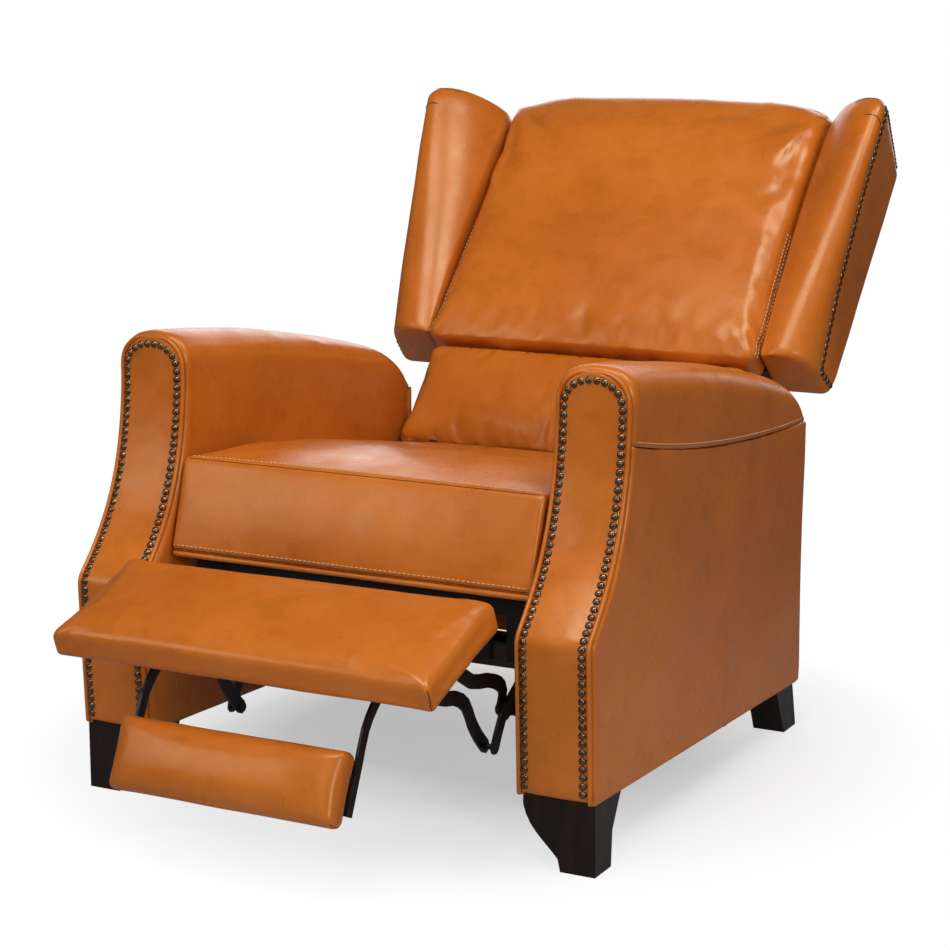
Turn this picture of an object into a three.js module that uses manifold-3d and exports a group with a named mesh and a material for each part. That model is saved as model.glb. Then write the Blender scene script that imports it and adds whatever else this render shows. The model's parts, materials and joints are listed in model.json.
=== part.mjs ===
// Push-back wingback recliner, reclined with its footrest open.
// Millimetres, +Z up, the sitter looks along -Y, and the chair is symmetric about x = 0.
// Side-view places are (y, z), with y = 0 at the foot of the arm fronts and z = 0 on the floor.

import * as THREE from 'three';
import { mergeVertices } from 'three/addons/utils/BufferGeometryUtils.js';
import Module from 'manifold-3d';

const wasm = await Module();
wasm.setup();

// Running and fitting clearances
const fitGap = 0.3;
const pinClearance = 0.4;
const overrun = 60;

// Overall sizes
const overallWidth = 802;
const armThickness = 114.6;
const frontFaceToOrigin = 480.354;

// Arm side view
const armBehindHinge = 63;
const armBottomFrontZ = 102;
const armBottomRearZ = 72;
const armRearCornerRadius = 20;
const armFrontFootY = 3;
const armKinkY = -6;
const armKinkZ = 312;
const armCurveLowPull = [55, 372];
const armCurveHighPull = [104, 440];
const armUprightY = 112;
const armUprightZ = 580;
const armTopZ = 650;
const armTopCrestY = 140;
const armTopSlope = 0.0886;
const armTopDroop = 61;
const armEndDrop = 58;
const armEndTuck = 7;
const armEndLength = 90;
const armTopCornerRadius = 46;
const armPadFrontRound = 6;
const seamFrontY = 105;
const seamFrontZ = 552;
const seamPullY = 400;
const seamPullZ = 487;
const seamRearZ = 481;

// Arm panels and the box frame inside
const sidePanelThickness = 8;
const sidePanelSetback = 2;
const frontPanelThickness = 8;
const frontPanelTopZ = 642;
const frontPanelCornerRadius = 39;
const frameBoardThickness = 22;
const framePostFromRear = 315;
const framePostWidth = 50;
const frameFrontPostRearY = 155;
const frameWindowTopZ = 430;

// Legs
const frontLegWidth = 106;
const frontLegSideInset = 2;
const frontLegFrontY = 12;
const frontLegRearY = 93;
const frontLegFootWidth = 50;
const frontLegApronZ = 85;
const rearLegFootSideInset = 7;
const rearLegFootRearInset = 1;
const rearLegFootWidth = 50;
const rearLegTopSideInset = 11;
const rearLegTopRearInset = 9;
const rearLegTopWidth = 49;
const rearLegTopDepth = 68;

// Fixed rails under the seat
const frontRailY = 385;
const frontRailBottomZ = 150;
const frontRailTopZ = 185;
const rearRailFromRear = 110;
const rearRailBottomZ = 84;
const rearRailTopZ = 114;
const railDepth = 30;
const rearPanelBottomZ = 92;
const rearPanelTopZ = 215;
const rearPanelThickness = 20;

// Steel plates of the mechanism, counted outward from the innermost link
const plateThickness = 4;
const plateGap = 1;
const mechanismSideInset = 93.4;
const pinRadius = 4;
const pinHeadRadius = 7;
const pinHeadThickness = 2.2;
const pinSides = 12;
const eyeSides = 16;
const tubeSides = 16;

// Outline of the base plate
const basePlateFrontY = 362;
const basePlateRearInset = 23;
const basePlateHookZ = 203;
const basePlateBodyZ = 172;

// Seat carriage, in its own frame: u rearward along the seat slope, w square to it
const seatFrontBottom = [59, 357];
const seatTilt = 10;
const seatSideGap = 2.9;
const seatLength = 610;
const seatFrontThickness = 126;
const seatThickness = 152;
const seatRampLength = 215;
const seatCornerRadius = 26;
const seatEdgeRadius = 14;
const seatSideDraw = 5;
const seatCrown = 10;
const seatFrontLean = 16;
const seatFrameRearInset = 10;
const seatFrameSideInset = 21.5;
const seatFrameSideWidth = 40;
const seatFrameDepth = 38;
const seatFrameRailWidth = 26;
const springWireDiameter = 5;
const springCount = 3;
const springPitch = 44;
const springHalfWave = 27;
const springWireSides = 5;
const lipLength = 66;
const lipThickness = 12;
const lipInset = 2;
const frontBoardY = 125;
const frontBoardThickness = 10;
const frontBoardBottomZ = 237;
const frontBoardSlotTopZ = 302;
const frontBoardSideInset = 4;
const frontBoardSlotMargin = 5;
const seatFlangeWidth = 30;
const seatGlide = 50;

// The seat rail hangs from its flange, with a lobe at each pivot and an upright to the back hinge
const railLobe = 16;
const railHangDepth = 80;
const hingeLobe = 10;
const hingeUprightHalfWidth = 11;

// Footrest linkage pivots, side view
const driveRoot = [226.6, 234.4];
const driveKnee = [96.8, 124.2];
const driveMiddle = [122.2, 171.2];
const archTail = [178.2, 157.1];
const controlRoot = [292, 195];
const ottomanLower = [-89.4, 271];
const ottomanUpper = [-60.6, 294.2];
const archSlack = 4.2;
const ottomanSlack = 2.8;
const linkHalfWidth = 10;
const torqueTubeRadius = 9;

// Bends of the links, as shares of the distance between their end pivots: along it, and to its right
const driveBendShares = [[0.31, 0.02], [0.55, 0.06], [0.77, 0.078]];
const driveSpurShares = [[0.7, 0.05]];
const crossBendShares = [[0.12, 0.012], [0.245, 0.043], [0.376, 0.093], [0.522, 0.072], [0.737, -0.02]];
const archBendShares = [[0.25, -0.004], [0.533, -0.012], [0.729, -0.09], [0.89, -0.127], [0.975, -0.1]];

// Swing links between base plate and seat rail
const swingLength = 72;
const frontSwingSeatU = 380;
const rearSwingFromRear = 90;
const swingDrop = 66;
const swingSlack = 2.6;

// Back, in its own frame at the back hinge: n rearward from the back's plane, t up along it
const backRecline = 41;
const backTurn = 24;
const hingeBehindSeat = 16.11;
const hingeAboveSeatFoot = 152.03;
const reclineArmDrop = 70;
const reclineLinkLength = 185;
const reclineSag = 5.8;
const reclineSlack = 3.4;
const crossTubeRadius = 9;
const lumbarBottomHeight = 15.2;
const lumbarTopHeight = 193.2;
const lumbarSideGap = 5.4;
const lumbarFaceLead = 7.6;
const lumbarCrown = 14;
const lumbarCornerRadius = 16;
const lumbarEdgeRadius = 13;
const lumbarSideDraw = 3;
const pillowBottomHeight = 196.2;
const pillowCornerHeight = 685.2;
const pillowCrownHeight = 729.2;
const pillowOverArm = 6.1;
const pillowFaceLead = 24.6;
const pillowCrown = 13;
const pillowCornerRadius = 26;
const pillowEdgeRadius = 24;
const pillowSideDraw = 2;
const backFrameFrontSetback = 49.4;
const backFrameDepth = 32;
const backPostPlateGap = 4.5;
const backPostWidth = 37.5;
const backRailHeight = 42;
const backFrameBottomHeight = 19.2;
const backFrameTopHeight = 659.2;
const backFrameSideInset = 1;
const shoulderRailLift = 6;
const strapWidth = 20;
const backPanelThickness = 22;
const backPanelBottomLift = 2;
const backPanelTopHeight = 677.2;
const backPanelShoulderStep = 8;
const backPanelCornerCut = 20;
const wingRearInset = 16;
const wingFootInset = 30;
const wingTopFlare = 17;
const wingBottomHeight = 211;
const wingTopHeight = 663;
const wingTopRise = 17;
const wingRearFootSetback = 95.4;
const wingRearTopSetback = 107;
const wingFootFrontSetback = 4;
const wingTopFrontLead = 122;
const wingInnerSetback = 4;
const wingInnerEndSetback = 24;
const wingRollRadius = 22;
const wingBulge = 13;
const wingDomeRadius = 28;
const wingEndRadius = 12;
const wingRearCornerRadius = 9;


// Footrest board and pad
const ottomanTopRear = [-44, 364];
const ottomanSlope = 19.6;
const ottomanDepth = 188;
const ottomanSideInset = 1;
const ottomanThickness = 41;
const ottomanCrown = 7;
const ottomanEdgeRadius = 9;
const ottomanBoardInset = 12;
const ottomanBoardThickness = 12;
const padCornerRadius = 12;
const padSideDraw = 1.5;

// Small flip pad
const miniTop = [-228, 204];
const miniSlope = 65.6;
const miniDepth = 94;
const miniFromPlates = 23;
const miniThickness = 35;
const miniCrown = 4;
const miniEdgeRadius = 8;
const miniBoardInset = 9;
const miniBoardThickness = 9;
const miniPivot = [-125, 262];
const miniArmInset = 1;
const miniArmHalfWidth = 8;

// Materials
const surface = (color, roughness, metalness) => () =>
  new THREE.MeshStandardMaterial({ color, roughness, metalness });
const leather = surface(0x8a4a22, 0.42, 0);
const darkWood = surface(0x2b1a12, 0.45, 0);
const paleWood = surface(0xb08a5c, 0.7, 0);
const blackSteel = surface(0x1c1c1e, 0.45, 0.6);
const springSteel = surface(0x6d6e70, 0.4, 0.9);
const blackCloth = surface(0x151515, 0.9, 0);

const xAxis = new THREE.Vector3(1, 0, 0);
const yAxis = new THREE.Vector3(0, 1, 0);
const zAxis = new THREE.Vector3(0, 0, 1);
const sideView = new THREE.Matrix4().makeBasis(yAxis, zAxis, xAxis);
const frontView = new THREE.Matrix4().makeBasis(xAxis, zAxis, yAxis.clone().negate());

// Widths follow from the overall width, and lengths from the seat's
const overallHalfWidth = overallWidth / 2;
const armInnerX = overallHalfWidth - armThickness;
const armMiddleX = overallHalfWidth - armThickness / 2;
const frontPanelHalfWidth = armThickness / 2 - sidePanelThickness - fitGap;
const innermostPlateX = armInnerX - mechanismSideInset;
const plateInner = (layer) => innermostPlateX + layer * (plateThickness + plateGap);
const layers = { cross: 0, bracket: 1, arch: 2, drive: 3, seatRail: 4, swing: 5, base: 6 };
const seatHalfWidth = armInnerX - seatSideGap;
const seatFrameOuterX = seatHalfWidth - seatFrameSideInset;
const seatFrameInnerX = seatFrameOuterX - seatFrameSideWidth;
const seatFrameRearU = seatLength - seatFrameRearInset;
const rearSwingSeatU = seatLength - rearSwingFromRear;
const lumbarHalfWidth = armInnerX - lumbarSideGap;
const pillowHalfWidth = armInnerX + pillowOverArm;
const backPostInnerX = plateInner(layers.drive) + backPostPlateGap;
const backPostOuterX = backPostInnerX + backPostWidth;
const backFrameRearSetback = backFrameFrontSetback + backFrameDepth;
const wingInnerX = pillowHalfWidth + fitGap;
const ottomanHalfWidth = seatHalfWidth - ottomanSideInset;
const miniHalfWidth = innermostPlateX - miniFromPlates;
const miniArmOuterX = miniHalfWidth - miniArmInset;

// Solid helpers

function toSolid(geometry) {
  const bare = new THREE.BufferGeometry();
  bare.setAttribute('position', geometry.getAttribute('position'));
  if (geometry.index) {
    bare.setIndex(geometry.index);
  }
  const merged = mergeVertices(bare);
  const solid = new wasm.Manifold(new wasm.Mesh({
    numProp: 3,
    vertProperties: new Float32Array(merged.getAttribute('position').array),
    triVerts: new Uint32Array(merged.index.array),
  }));
  return solid;
}

function toGeometry(solid) {
  const mesh = solid.getMesh();
  const geometry = new THREE.BufferGeometry();
  geometry.setAttribute('position', new THREE.BufferAttribute(new Float32Array(mesh.vertProperties), 3));
  geometry.setIndex(new THREE.BufferAttribute(new Uint32Array(mesh.triVerts), 1));
  geometry.computeVertexNormals();
  return geometry;
}

const join = (first, ...rest) =>
  toGeometry(rest.reduce((sum, next) => sum.add(toSolid(next)), toSolid(first)));
const cut = (first, ...rest) =>
  toGeometry(rest.reduce((sum, next) => sum.subtract(toSolid(next)), toSolid(first)));
const common = (first, second) => toGeometry(toSolid(first).intersect(toSolid(second)));

function flipped(geometry) {
  const index = geometry.index.array.slice();
  for (let i = 0; i < index.length; i += 3) {
    [index[i], index[i + 1]] = [index[i + 1], index[i]];
  }
  geometry.setIndex(new THREE.BufferAttribute(index, 1));
  return geometry;
}

function signedVolume(geometry) {
  const position = geometry.getAttribute('position');
  const corners = [new THREE.Vector3(), new THREE.Vector3(), new THREE.Vector3()];
  let volume = 0;
  for (let i = 0; i < geometry.index.count; i += 3) {
    corners.forEach((corner, k) => corner.fromBufferAttribute(position, geometry.index.getX(i + k)));
    volume += corners[0].dot(corners[1].clone().cross(corners[2]));
  }
  return volume / 6;
}

function mirrored(geometry) {
  const solid = toSolid(geometry);
  const copy = toGeometry(solid);
  copy.applyMatrix4(new THREE.Matrix4().makeScale(-1, 1, 1));
  return flipped(copy);
}

// Rings of points, all of one count, skinned into one closed body with fanned ends
function loft(rings) {
  const count = rings[0].length;
  const points = rings.flat();
  const index = [];
  for (let r = 0; r + 1 < rings.length; r += 1) {
    for (let k = 0; k < count; k += 1) {
      const a = r * count + k;
      const b = r * count + ((k + 1) % count);
      index.push(a, b, b + count, a, b + count, a + count);
    }
  }
  const fan = (ring, start, inward) => {
    const centre = ring.reduce((sum, p) => sum.add(p), new THREE.Vector3()).divideScalar(count);
    const hub = points.length;
    points.push(centre);
    for (let k = 0; k < count; k += 1) {
      const next = (k + 1) % count;
      index.push(hub, start + (inward ? next : k), start + (inward ? k : next));
    }
  };
  fan(rings[0], 0, true);
  fan(rings[rings.length - 1], (rings.length - 1) * count, false);
  const geometry = new THREE.BufferGeometry().setFromPoints(points);
  geometry.setIndex(index);
  if (signedVolume(geometry) < 0) {
    flipped(geometry);
  }
  geometry.computeVertexNormals();
  return geometry;
}

const shapeOf = (points) => new THREE.Shape(points.map(([u, v]) => new THREE.Vector2(u, v)));

// A plate drawn in the side view, between two x places
function sidePlate(shape, fromX, toX, curveSegments = 6) {
  const options = { depth: toX - fromX, bevelEnabled: false, curveSegments };
  return new THREE.ExtrudeGeometry(shape, options).applyMatrix4(sideView).translate(fromX, 0, 0);
}

// A plate drawn in the front view, between two y places
function frontPlate(shape, fromY, toY, curveSegments = 6) {
  const options = { depth: toY - fromY, bevelEnabled: false, curveSegments };
  return new THREE.ExtrudeGeometry(shape, options).applyMatrix4(frontView).translate(0, toY, 0);
}

function block(fromX, toX, fromY, toY, fromZ, toZ) {
  const geometry = new THREE.BoxGeometry(toX - fromX, toY - fromY, toZ - fromZ);
  return geometry.translate((fromX + toX) / 2, (fromY + toY) / 2, (fromZ + toZ) / 2);
}

// A round bar along x through a side-view place
function crossBar([y, z], radius, fromX, toX, sides = pinSides) {
  const geometry = new THREE.CylinderGeometry(radius, radius, toX - fromX, sides);
  return geometry.rotateZ(Math.PI / 2).translate((fromX + toX) / 2, y, z);
}

// Rectangle with one radius on its corners, for outlines
function roundedBox(u0, u1, v0, v1, radius) {
  const shape = new THREE.Shape();
  shape.moveTo((u0 + u1) / 2, v0);
  shape.lineTo(u1 - radius, v0);
  shape.absarc(u1 - radius, v0 + radius, radius, -Math.PI / 2, 0);
  shape.lineTo(u1, v1 - radius);
  shape.absarc(u1 - radius, v1 - radius, radius, 0, Math.PI / 2);
  shape.lineTo(u0 + radius, v1);
  shape.absarc(u0 + radius, v1 - radius, radius, Math.PI / 2, Math.PI);
  shape.lineTo(u0, v0 + radius);
  shape.absarc(u0 + radius, v0 + radius, radius, Math.PI, 1.5 * Math.PI);
  shape.lineTo((u0 + u1) / 2, v0);
  return shape;
}

// Rings of a cushion: back edge, drawn-in side, face edge and crown, as shares
const faceRingShares = [0.93, 0.8, 0.6, 0.35];

// A stuffed block. Its outline lies in (x, v), its back is flat at height 0, and faceAt(v) is the
// height of its face edge. The side is drawn in between two rounded edges and the face is crowned.
function cushion({ outline, faceAt, leanAt = () => 0, edge, drawnIn, crown }) {
  const box = new THREE.Box2().setFromPoints(outline);
  const centre = box.getCenter(new THREE.Vector2());
  const half = box.getSize(new THREE.Vector2()).divideScalar(2);
  const ring = (inset, heightOf, scale = 1) => outline.map((p) => {
    const x = centre.x + (p.x - centre.x) * (1 - inset / half.x) * scale;
    const v = centre.y + (p.y - centre.y) * (1 - inset / half.y) * scale;
    const height = heightOf(v);
    return new THREE.Vector3(x, v + leanAt(v) * (height / faceAt(v)), height);
  });
  const cornerIn = edge * (1 - Math.SQRT1_2);
  return loft([
    ring(edge, () => 0),
    ring(cornerIn, () => cornerIn),
    ring(0, () => edge),
    ring(drawnIn, (v) => faceAt(v) / 2),
    ring(0, (v) => faceAt(v) - edge),
    ring(cornerIn, (v) => faceAt(v) - cornerIn),
    ring(edge, (v) => faceAt(v)),
    ...faceRingShares.map((share) => ring(edge, (v) => faceAt(v) + crown * (1 - share ** 2), share)),
  ]);
}

const rotation = (degrees) => THREE.MathUtils.degToRad(degrees);

function turned([y, z], degrees) {
  const c = Math.cos(rotation(degrees));
  const s = Math.sin(rotation(degrees));
  return [c * y - s * z, s * y + c * z];
}

const plus = ([a, b], [c, d]) => [a + c, b + d];
const minus = ([a, b], [c, d]) => [a - c, b - d];
const seatPlace = (u, w) => plus(seatFrontBottom, turned([u, w], -seatTilt));
const inSeat = (place) => turned(minus(place, seatFrontBottom), seatTilt);

const backHinge = seatPlace(seatLength + hingeBehindSeat, hingeAboveSeatFoot);
const inBack = (place) => turned(minus(place, backHinge), backRecline);
const armDepth = backHinge[0] + armBehindHinge;

// Chair groups

const chair = new THREE.Group();
chair.position.y = -frontFaceToOrigin;

const seat = new THREE.Group();
seat.position.set(0, ...seatFrontBottom);
seat.rotation.x = rotation(-seatTilt);
chair.add(seat);

const back = new THREE.Group();
back.position.set(0, ...backHinge);
back.rotation.x = rotation(-backRecline);
chair.add(back);

const ottoman = new THREE.Group();
ottoman.position.set(0, ...ottomanTopRear);
ottoman.rotation.x = rotation(ottomanSlope);
chair.add(ottoman);

const mini = new THREE.Group();
mini.position.set(0, ...miniTop);
mini.rotation.x = rotation(miniSlope);
chair.add(mini);

function add(parent, name, geometry, material) {
  const mesh = new THREE.Mesh(geometry, material());
  mesh.name = name;
  parent.add(mesh);
}

function addPair(parent, name, geometry, material) {
  add(parent, `${name}_left`, geometry, material);
  add(parent, `${name}_right`, mirrored(geometry), material);
}

// Arms

const armBottomEndY = armDepth - armRearCornerRadius - sidePanelThickness - fitGap;

function armBottomZ(y) {
  const share = Math.min(1, (y - armFrontFootY) / (armBottomEndY - armFrontFootY));
  return armBottomFrontZ + (armBottomRearZ - armBottomFrontZ) * share;
}

function armTopAt(y) {
  const run = Math.max(0, y - armTopCrestY);
  const span = armDepth - armTopCrestY;
  const endShare = Math.max(0, (y - armDepth + armEndLength) / armEndLength);
  const endDrop = armEndDrop * (1 - Math.sqrt(Math.max(0, 1 - endShare ** 2)));
  return armTopZ - armTopSlope * run - armTopDroop * (run / span) ** 2 - endDrop;
}

// The S-curved front of the arm from its foot to a height, moved rearward
function armFront(shiftY, topZ) {
  const path = new THREE.Path();
  path.moveTo(armFrontFootY, armBottomFrontZ);
  path.lineTo(armKinkY, armKinkZ);
  path.bezierCurveTo(...armCurveLowPull, ...armCurveHighPull, armUprightY, armUprightZ);
  path.lineTo(armUprightY, topZ);
  return path.getPoints(9).map((p) => [p.x + shiftY, p.y]);
}

function armSideShape(frontShift, rearShift) {
  const rearY = armDepth - rearShift;
  const shape = shapeOf([...armFront(frontShift, armTopZ), [rearY, armTopZ]]);
  const radius = armRearCornerRadius;
  shape.lineTo(rearY, armBottomRearZ + radius);
  shape.quadraticCurveTo(rearY, armBottomRearZ, rearY - radius, armBottomRearZ);
  shape.lineTo(armFrontFootY + frontShift, armBottomFrontZ);
  return shape;
}

// The seam where the arm pad meets the side panels, and the region under it
function seamPoints() {
  const curve = new THREE.QuadraticBezierCurve(
    new THREE.Vector2(seamFrontY, seamFrontZ),
    new THREE.Vector2(seamPullY, seamPullZ),
    new THREE.Vector2(armDepth, seamRearZ),
  );
  return curve.getPoints(6).map((p) => [p.x, p.y]);
}

function underSeam(drop) {
  const line = seamPoints().map(([y, z]) => [y, z - drop]);
  const first = [-overrun, line[0][1] + (seamFrontY + overrun) * armTopSlope];
  const last = [armDepth + overrun, line[line.length - 1][1]];
  const shape = shapeOf([[-overrun, -overrun], first, ...line, last, [armDepth + overrun, -overrun]]);
  return sidePlate(shape, armInnerX - overrun, overallHalfWidth + overrun);
}

function armPad() {
  const half = armThickness / 2;
  const startY = armUprightY + frontPanelThickness + fitGap;
  const bottomZ = frameWindowTopZ;
  const stations = [startY, startY + armPadFrontRound, armTopCrestY + armPadFrontRound];
  const steps = 5;
  const endStart = armDepth - armEndLength;
  for (let k = 1; k <= steps; k += 1) {
    stations.push(stations[2] + (endStart - stations[2]) * (k / steps));
  }
  for (let k = 1; k <= steps; k += 1) {
    stations.push(endStart + armEndLength * Math.sin((Math.PI / 2) * (k / steps)));
  }
  const rings = stations.map((y, index) => {
    const endShare = Math.max(0, (y - endStart) / armEndLength);
    const tuck = armEndTuck * (1 - Math.sqrt(1 - endShare ** 2)) + (index === 0 ? armPadFrontRound : 0);
    const topZ = armTopAt(y) - (index === 0 ? armPadFrontRound : 0);
    const outline = new THREE.Path();
    const width = half - tuck;
    const radius = armTopCornerRadius;
    outline.moveTo(armMiddleX - width, bottomZ);
    outline.lineTo(armMiddleX + width, bottomZ);
    outline.lineTo(armMiddleX + width, topZ - radius);
    outline.quadraticCurveTo(armMiddleX + width, topZ, armMiddleX + width - radius, topZ);
    outline.lineTo(armMiddleX - width + radius, topZ);
    outline.quadraticCurveTo(armMiddleX - width, topZ, armMiddleX - width, topZ - radius);
    return outline.getPoints(5).map((p) => new THREE.Vector3(p.x, y, p.y));
  });
  return cut(loft(rings), underSeam(-fitGap / 2));
}

function armFrontPanel() {
  const near = armFront(0, frontPanelTopZ);
  const far = armFront(frontPanelThickness, frontPanelTopZ).reverse();
  const left = armMiddleX - frontPanelHalfWidth;
  const right = armMiddleX + frontPanelHalfWidth;
  const arch = roundedBox(left, right, -overrun, frontPanelTopZ, frontPanelCornerRadius);
  const sheet = sidePlate(shapeOf([...near, ...far]), left, right);
  return common(sheet, frontPlate(arch, -overrun, armUprightY + overrun, 7));
}

function armSidePanel(fromX, toX) {
  return common(sidePlate(armSideShape(sidePanelSetback, 0), fromX, toX), underSeam(fitGap / 2));
}

function armOuterPanel() {
  const side = armSidePanel(overallHalfWidth - sidePanelThickness, overallHalfWidth);
  const returnFromX = armInnerX + sidePanelThickness + fitGap;
  const bottomZ = armBottomRearZ + armRearCornerRadius;
  const rear = block(returnFromX, overallHalfWidth - sidePanelThickness / 2,
    armDepth - sidePanelThickness, armDepth, bottomZ, seamRearZ - fitGap);
  return join(side, rear);
}

function armFrame() {
  const shape = armSideShape(frontPanelThickness + fitGap, sidePanelThickness + fitGap);
  const windowOf = (fromY, toY) => {
    const bottomZ = armBottomZ(fromY) + frameBoardThickness;
    const hole = [[fromY, bottomZ], [toY, bottomZ], [toY, frameWindowTopZ], [fromY, frameWindowTopZ]];
    return new THREE.Path(hole.map(([y, z]) => new THREE.Vector2(y, z)));
  };
  const rearPostY = armDepth - sidePanelThickness - frameBoardThickness;
  const postY = armDepth - framePostFromRear;
  shape.holes.push(windowOf(frameFrontPostRearY, postY - framePostWidth / 2));
  shape.holes.push(windowOf(postY + framePostWidth / 2, rearPostY));
  const inner = armInnerX + sidePanelThickness + fitGap;
  const outer = overallHalfWidth - sidePanelThickness - fitGap;
  return common(sidePlate(shape, inner, outer), underSeam(fitGap / 2));
}

addPair(chair, 'arm_pad', armPad(), leather);
addPair(chair, 'arm_front_panel', armFrontPanel(), leather);
addPair(chair, 'arm_outer_panel', armOuterPanel(), leather);
addPair(chair, 'arm_inner_panel', armSidePanel(armInnerX, armInnerX + sidePanelThickness), leather);
addPair(chair, 'arm_frame', armFrame(), paleWood);

// Legs

// The bracket shape of the front leg: places as shares of its apron width and height
const bracketCurveShares = [[0.12, 0.62], [0.65, 0.42]];
const bracketAnkleShares = [0.93, 0.2];
const bracketRearShares = [[1, 1], [0.7, 0.85], [0.1, 0.5], [0, 0]];

function frontLeg() {
  const outerX = overallHalfWidth - frontLegSideInset;
  const innerX = overallHalfWidth - frontLegWidth;
  const ankleX = outerX - frontLegFootWidth;
  const reach = ankleX - innerX;
  const lift = frontLegApronZ;
  const front = new THREE.Shape();
  front.moveTo(innerX, armTopZ);
  front.lineTo(innerX, lift);
  front.bezierCurveTo(
    innerX + reach * bracketCurveShares[0][0], lift * bracketCurveShares[0][1],
    innerX + reach * bracketCurveShares[1][0], lift * bracketCurveShares[1][1],
    innerX + reach * bracketAnkleShares[0], lift * bracketAnkleShares[1],
  );
  front.lineTo(ankleX, 0);
  front.lineTo(outerX, 0);
  front.lineTo(outerX, armTopZ);
  const footRearY = frontLegFrontY + frontLegFootWidth;
  const flare = frontLegRearY - footRearY;
  const topZ = (y) => armBottomZ(y) - fitGap;
  const rearSide = bracketRearShares.map(([a, b]) => [footRearY + flare * a, b * topZ(frontLegRearY)]);
  const side = shapeOf([[frontLegFrontY, 0], [frontLegFrontY, topZ(frontLegFrontY)], ...rearSide]);
  const body = frontPlate(front, frontLegFrontY - overrun, frontLegRearY + overrun, 7);
  return common(body, sidePlate(side, innerX - overrun, outerX + overrun));
}

function rearLeg() {
  const footRearY = armDepth - rearLegFootRearInset;
  const topRearY = armDepth - rearLegTopRearInset;
  const footOuterX = overallHalfWidth - rearLegFootSideInset;
  const topOuterX = overallHalfWidth - rearLegTopSideInset;
  const ring = (outerX, rearY, width, depth, z) => [
    new THREE.Vector3(outerX - width, rearY - depth, z), new THREE.Vector3(outerX, rearY - depth, z),
    new THREE.Vector3(outerX, rearY, z), new THREE.Vector3(outerX - width, rearY, z),
  ];
  return loft([
    ring(footOuterX, footRearY, rearLegFootWidth, rearLegFootWidth, 0),
    ring(topOuterX, topRearY, rearLegTopWidth, rearLegTopDepth, armBottomZ(topRearY) - fitGap),
  ]);
}

addPair(chair, 'front_leg', frontLeg(), darkWood);
addPair(chair, 'rear_leg', rearLeg(), darkWood);

// Rails between the arms

const railHalfLength = armInnerX - fitGap;
const railFaces = (y) => [y - railDepth / 2, y + railDepth / 2];
const rearPanelFaces = [armDepth - rearPanelThickness, armDepth];
add(chair, 'front_cross_rail', block(-railHalfLength, railHalfLength, ...railFaces(frontRailY),
  frontRailBottomZ, frontRailTopZ), paleWood);
const rearRailFaces = railFaces(armDepth - rearRailFromRear);
add(chair, 'rear_cross_rail', block(-railHalfLength, railHalfLength, ...rearRailFaces,
  rearRailBottomZ, rearRailTopZ), paleWood);
add(chair, 'rear_base_panel', block(-railHalfLength, railHalfLength, ...rearPanelFaces,
  rearPanelBottomZ, rearPanelTopZ), leather);

// Links

const distance = (a, b) => Math.hypot(b[0] - a[0], b[1] - a[1]);

// Places between two pivots, from shares along the line and to its right
function bends(from, to, shares) {
  const [dy, dz] = minus(to, from);
  return shares.map(([along, right]) => [
    from[0] + dy * along + dz * right,
    from[1] + dz * along - dy * right,
  ]);
}

// The outline of a bar of one width along a smooth route, with round ends
function barShape(route, halfWidth, stepsPerSpan = 2) {
  const line = new THREE.SplineCurve(route.map(([y, z]) => new THREE.Vector2(y, z)));
  const spans = route.length - 1;
  const steps = spans === 1 ? 1 : spans * stepsPerSpan;
  const sides = [1, -1].map((side) => Array.from({ length: steps + 1 }, (_, k) => {
    const p = line.getPoint(k / steps);
    const d = line.getTangent(k / steps);
    return [p.x - d.y * halfWidth * side, p.y + d.x * halfWidth * side];
  }));
  const cap = (place, out) => [1, 2, 3].map((k) => {
    const side = halfWidth * Math.cos((Math.PI * k) / 4);
    const reach = halfWidth * Math.sin((Math.PI * k) / 4);
    return [place.x - out.y * side + out.x * reach, place.y + out.x * side + out.y * reach];
  });
  const endCap = cap(line.getPoint(1), line.getTangent(1));
  const startCap = cap(line.getPoint(0), line.getTangent(0).negate());
  return shapeOf([...sides[0], ...endCap, ...sides[1].reverse(), ...startCap]);
}

const holeRadius = (slack = 0) => (pinRadius + pinClearance + slack) / Math.cos(Math.PI / pinSides);

// A drilled link plate in its layer, with the slack of each hole
function linkPlate(layer, routes, holes) {
  const fromX = plateInner(layer);
  const toX = fromX + plateThickness;
  const plates = routes.map((route) => sidePlate(barShape(route, linkHalfWidth), fromX, toX));
  const eyes = holes.map(({ at, slack = 0 }) =>
    crossBar(at, pinRadius + linkHalfWidth / 2 + slack, fromX, toX, eyeSides));
  const body = join(plates[0], ...plates.slice(1), ...eyes);
  return cut(body, ...holes.map(({ at, slack }) =>
    crossBar(at, holeRadius(slack), fromX - overrun, toX + overrun)));
}

// A rivet from one plate through the plate of another layer, with its head beyond
function rivet(at, fromLayer, toLayer, headRadius = pinHeadRadius) {
  const root = plateInner(fromLayer) + plateThickness / 2;
  const side = toLayer < fromLayer ? -1 : 1;
  const farFace = side < 0 ? plateInner(toLayer) - fitGap : plateInner(toLayer) + plateThickness + fitGap;
  const headFace = farFace + side * pinHeadThickness;
  const shank = crossBar(at, pinRadius, Math.min(root, farFace), Math.max(root, farFace));
  const head = crossBar(at, headRadius, Math.min(headFace, farFace), Math.max(headFace, farFace));
  return join(shank, head);
}

// A headless pin from one plate into the next layer inward
function stud(at, fromLayer) {
  const root = plateInner(fromLayer);
  return crossBar(at, pinRadius, root - plateThickness, root + plateThickness / 2);
}

function driveLink() {
  const route = [driveRoot, ...bends(driveRoot, driveKnee, driveBendShares), driveKnee];
  const spur = [driveMiddle, ...bends(driveRoot, driveKnee, driveSpurShares)];
  const plate = linkPlate(layers.drive, [route, spur], [{ at: driveRoot }]);
  return join(plate,
    rivet(driveMiddle, layers.drive, layers.arch),
    rivet(driveKnee, layers.drive, layers.cross));
}

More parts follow.
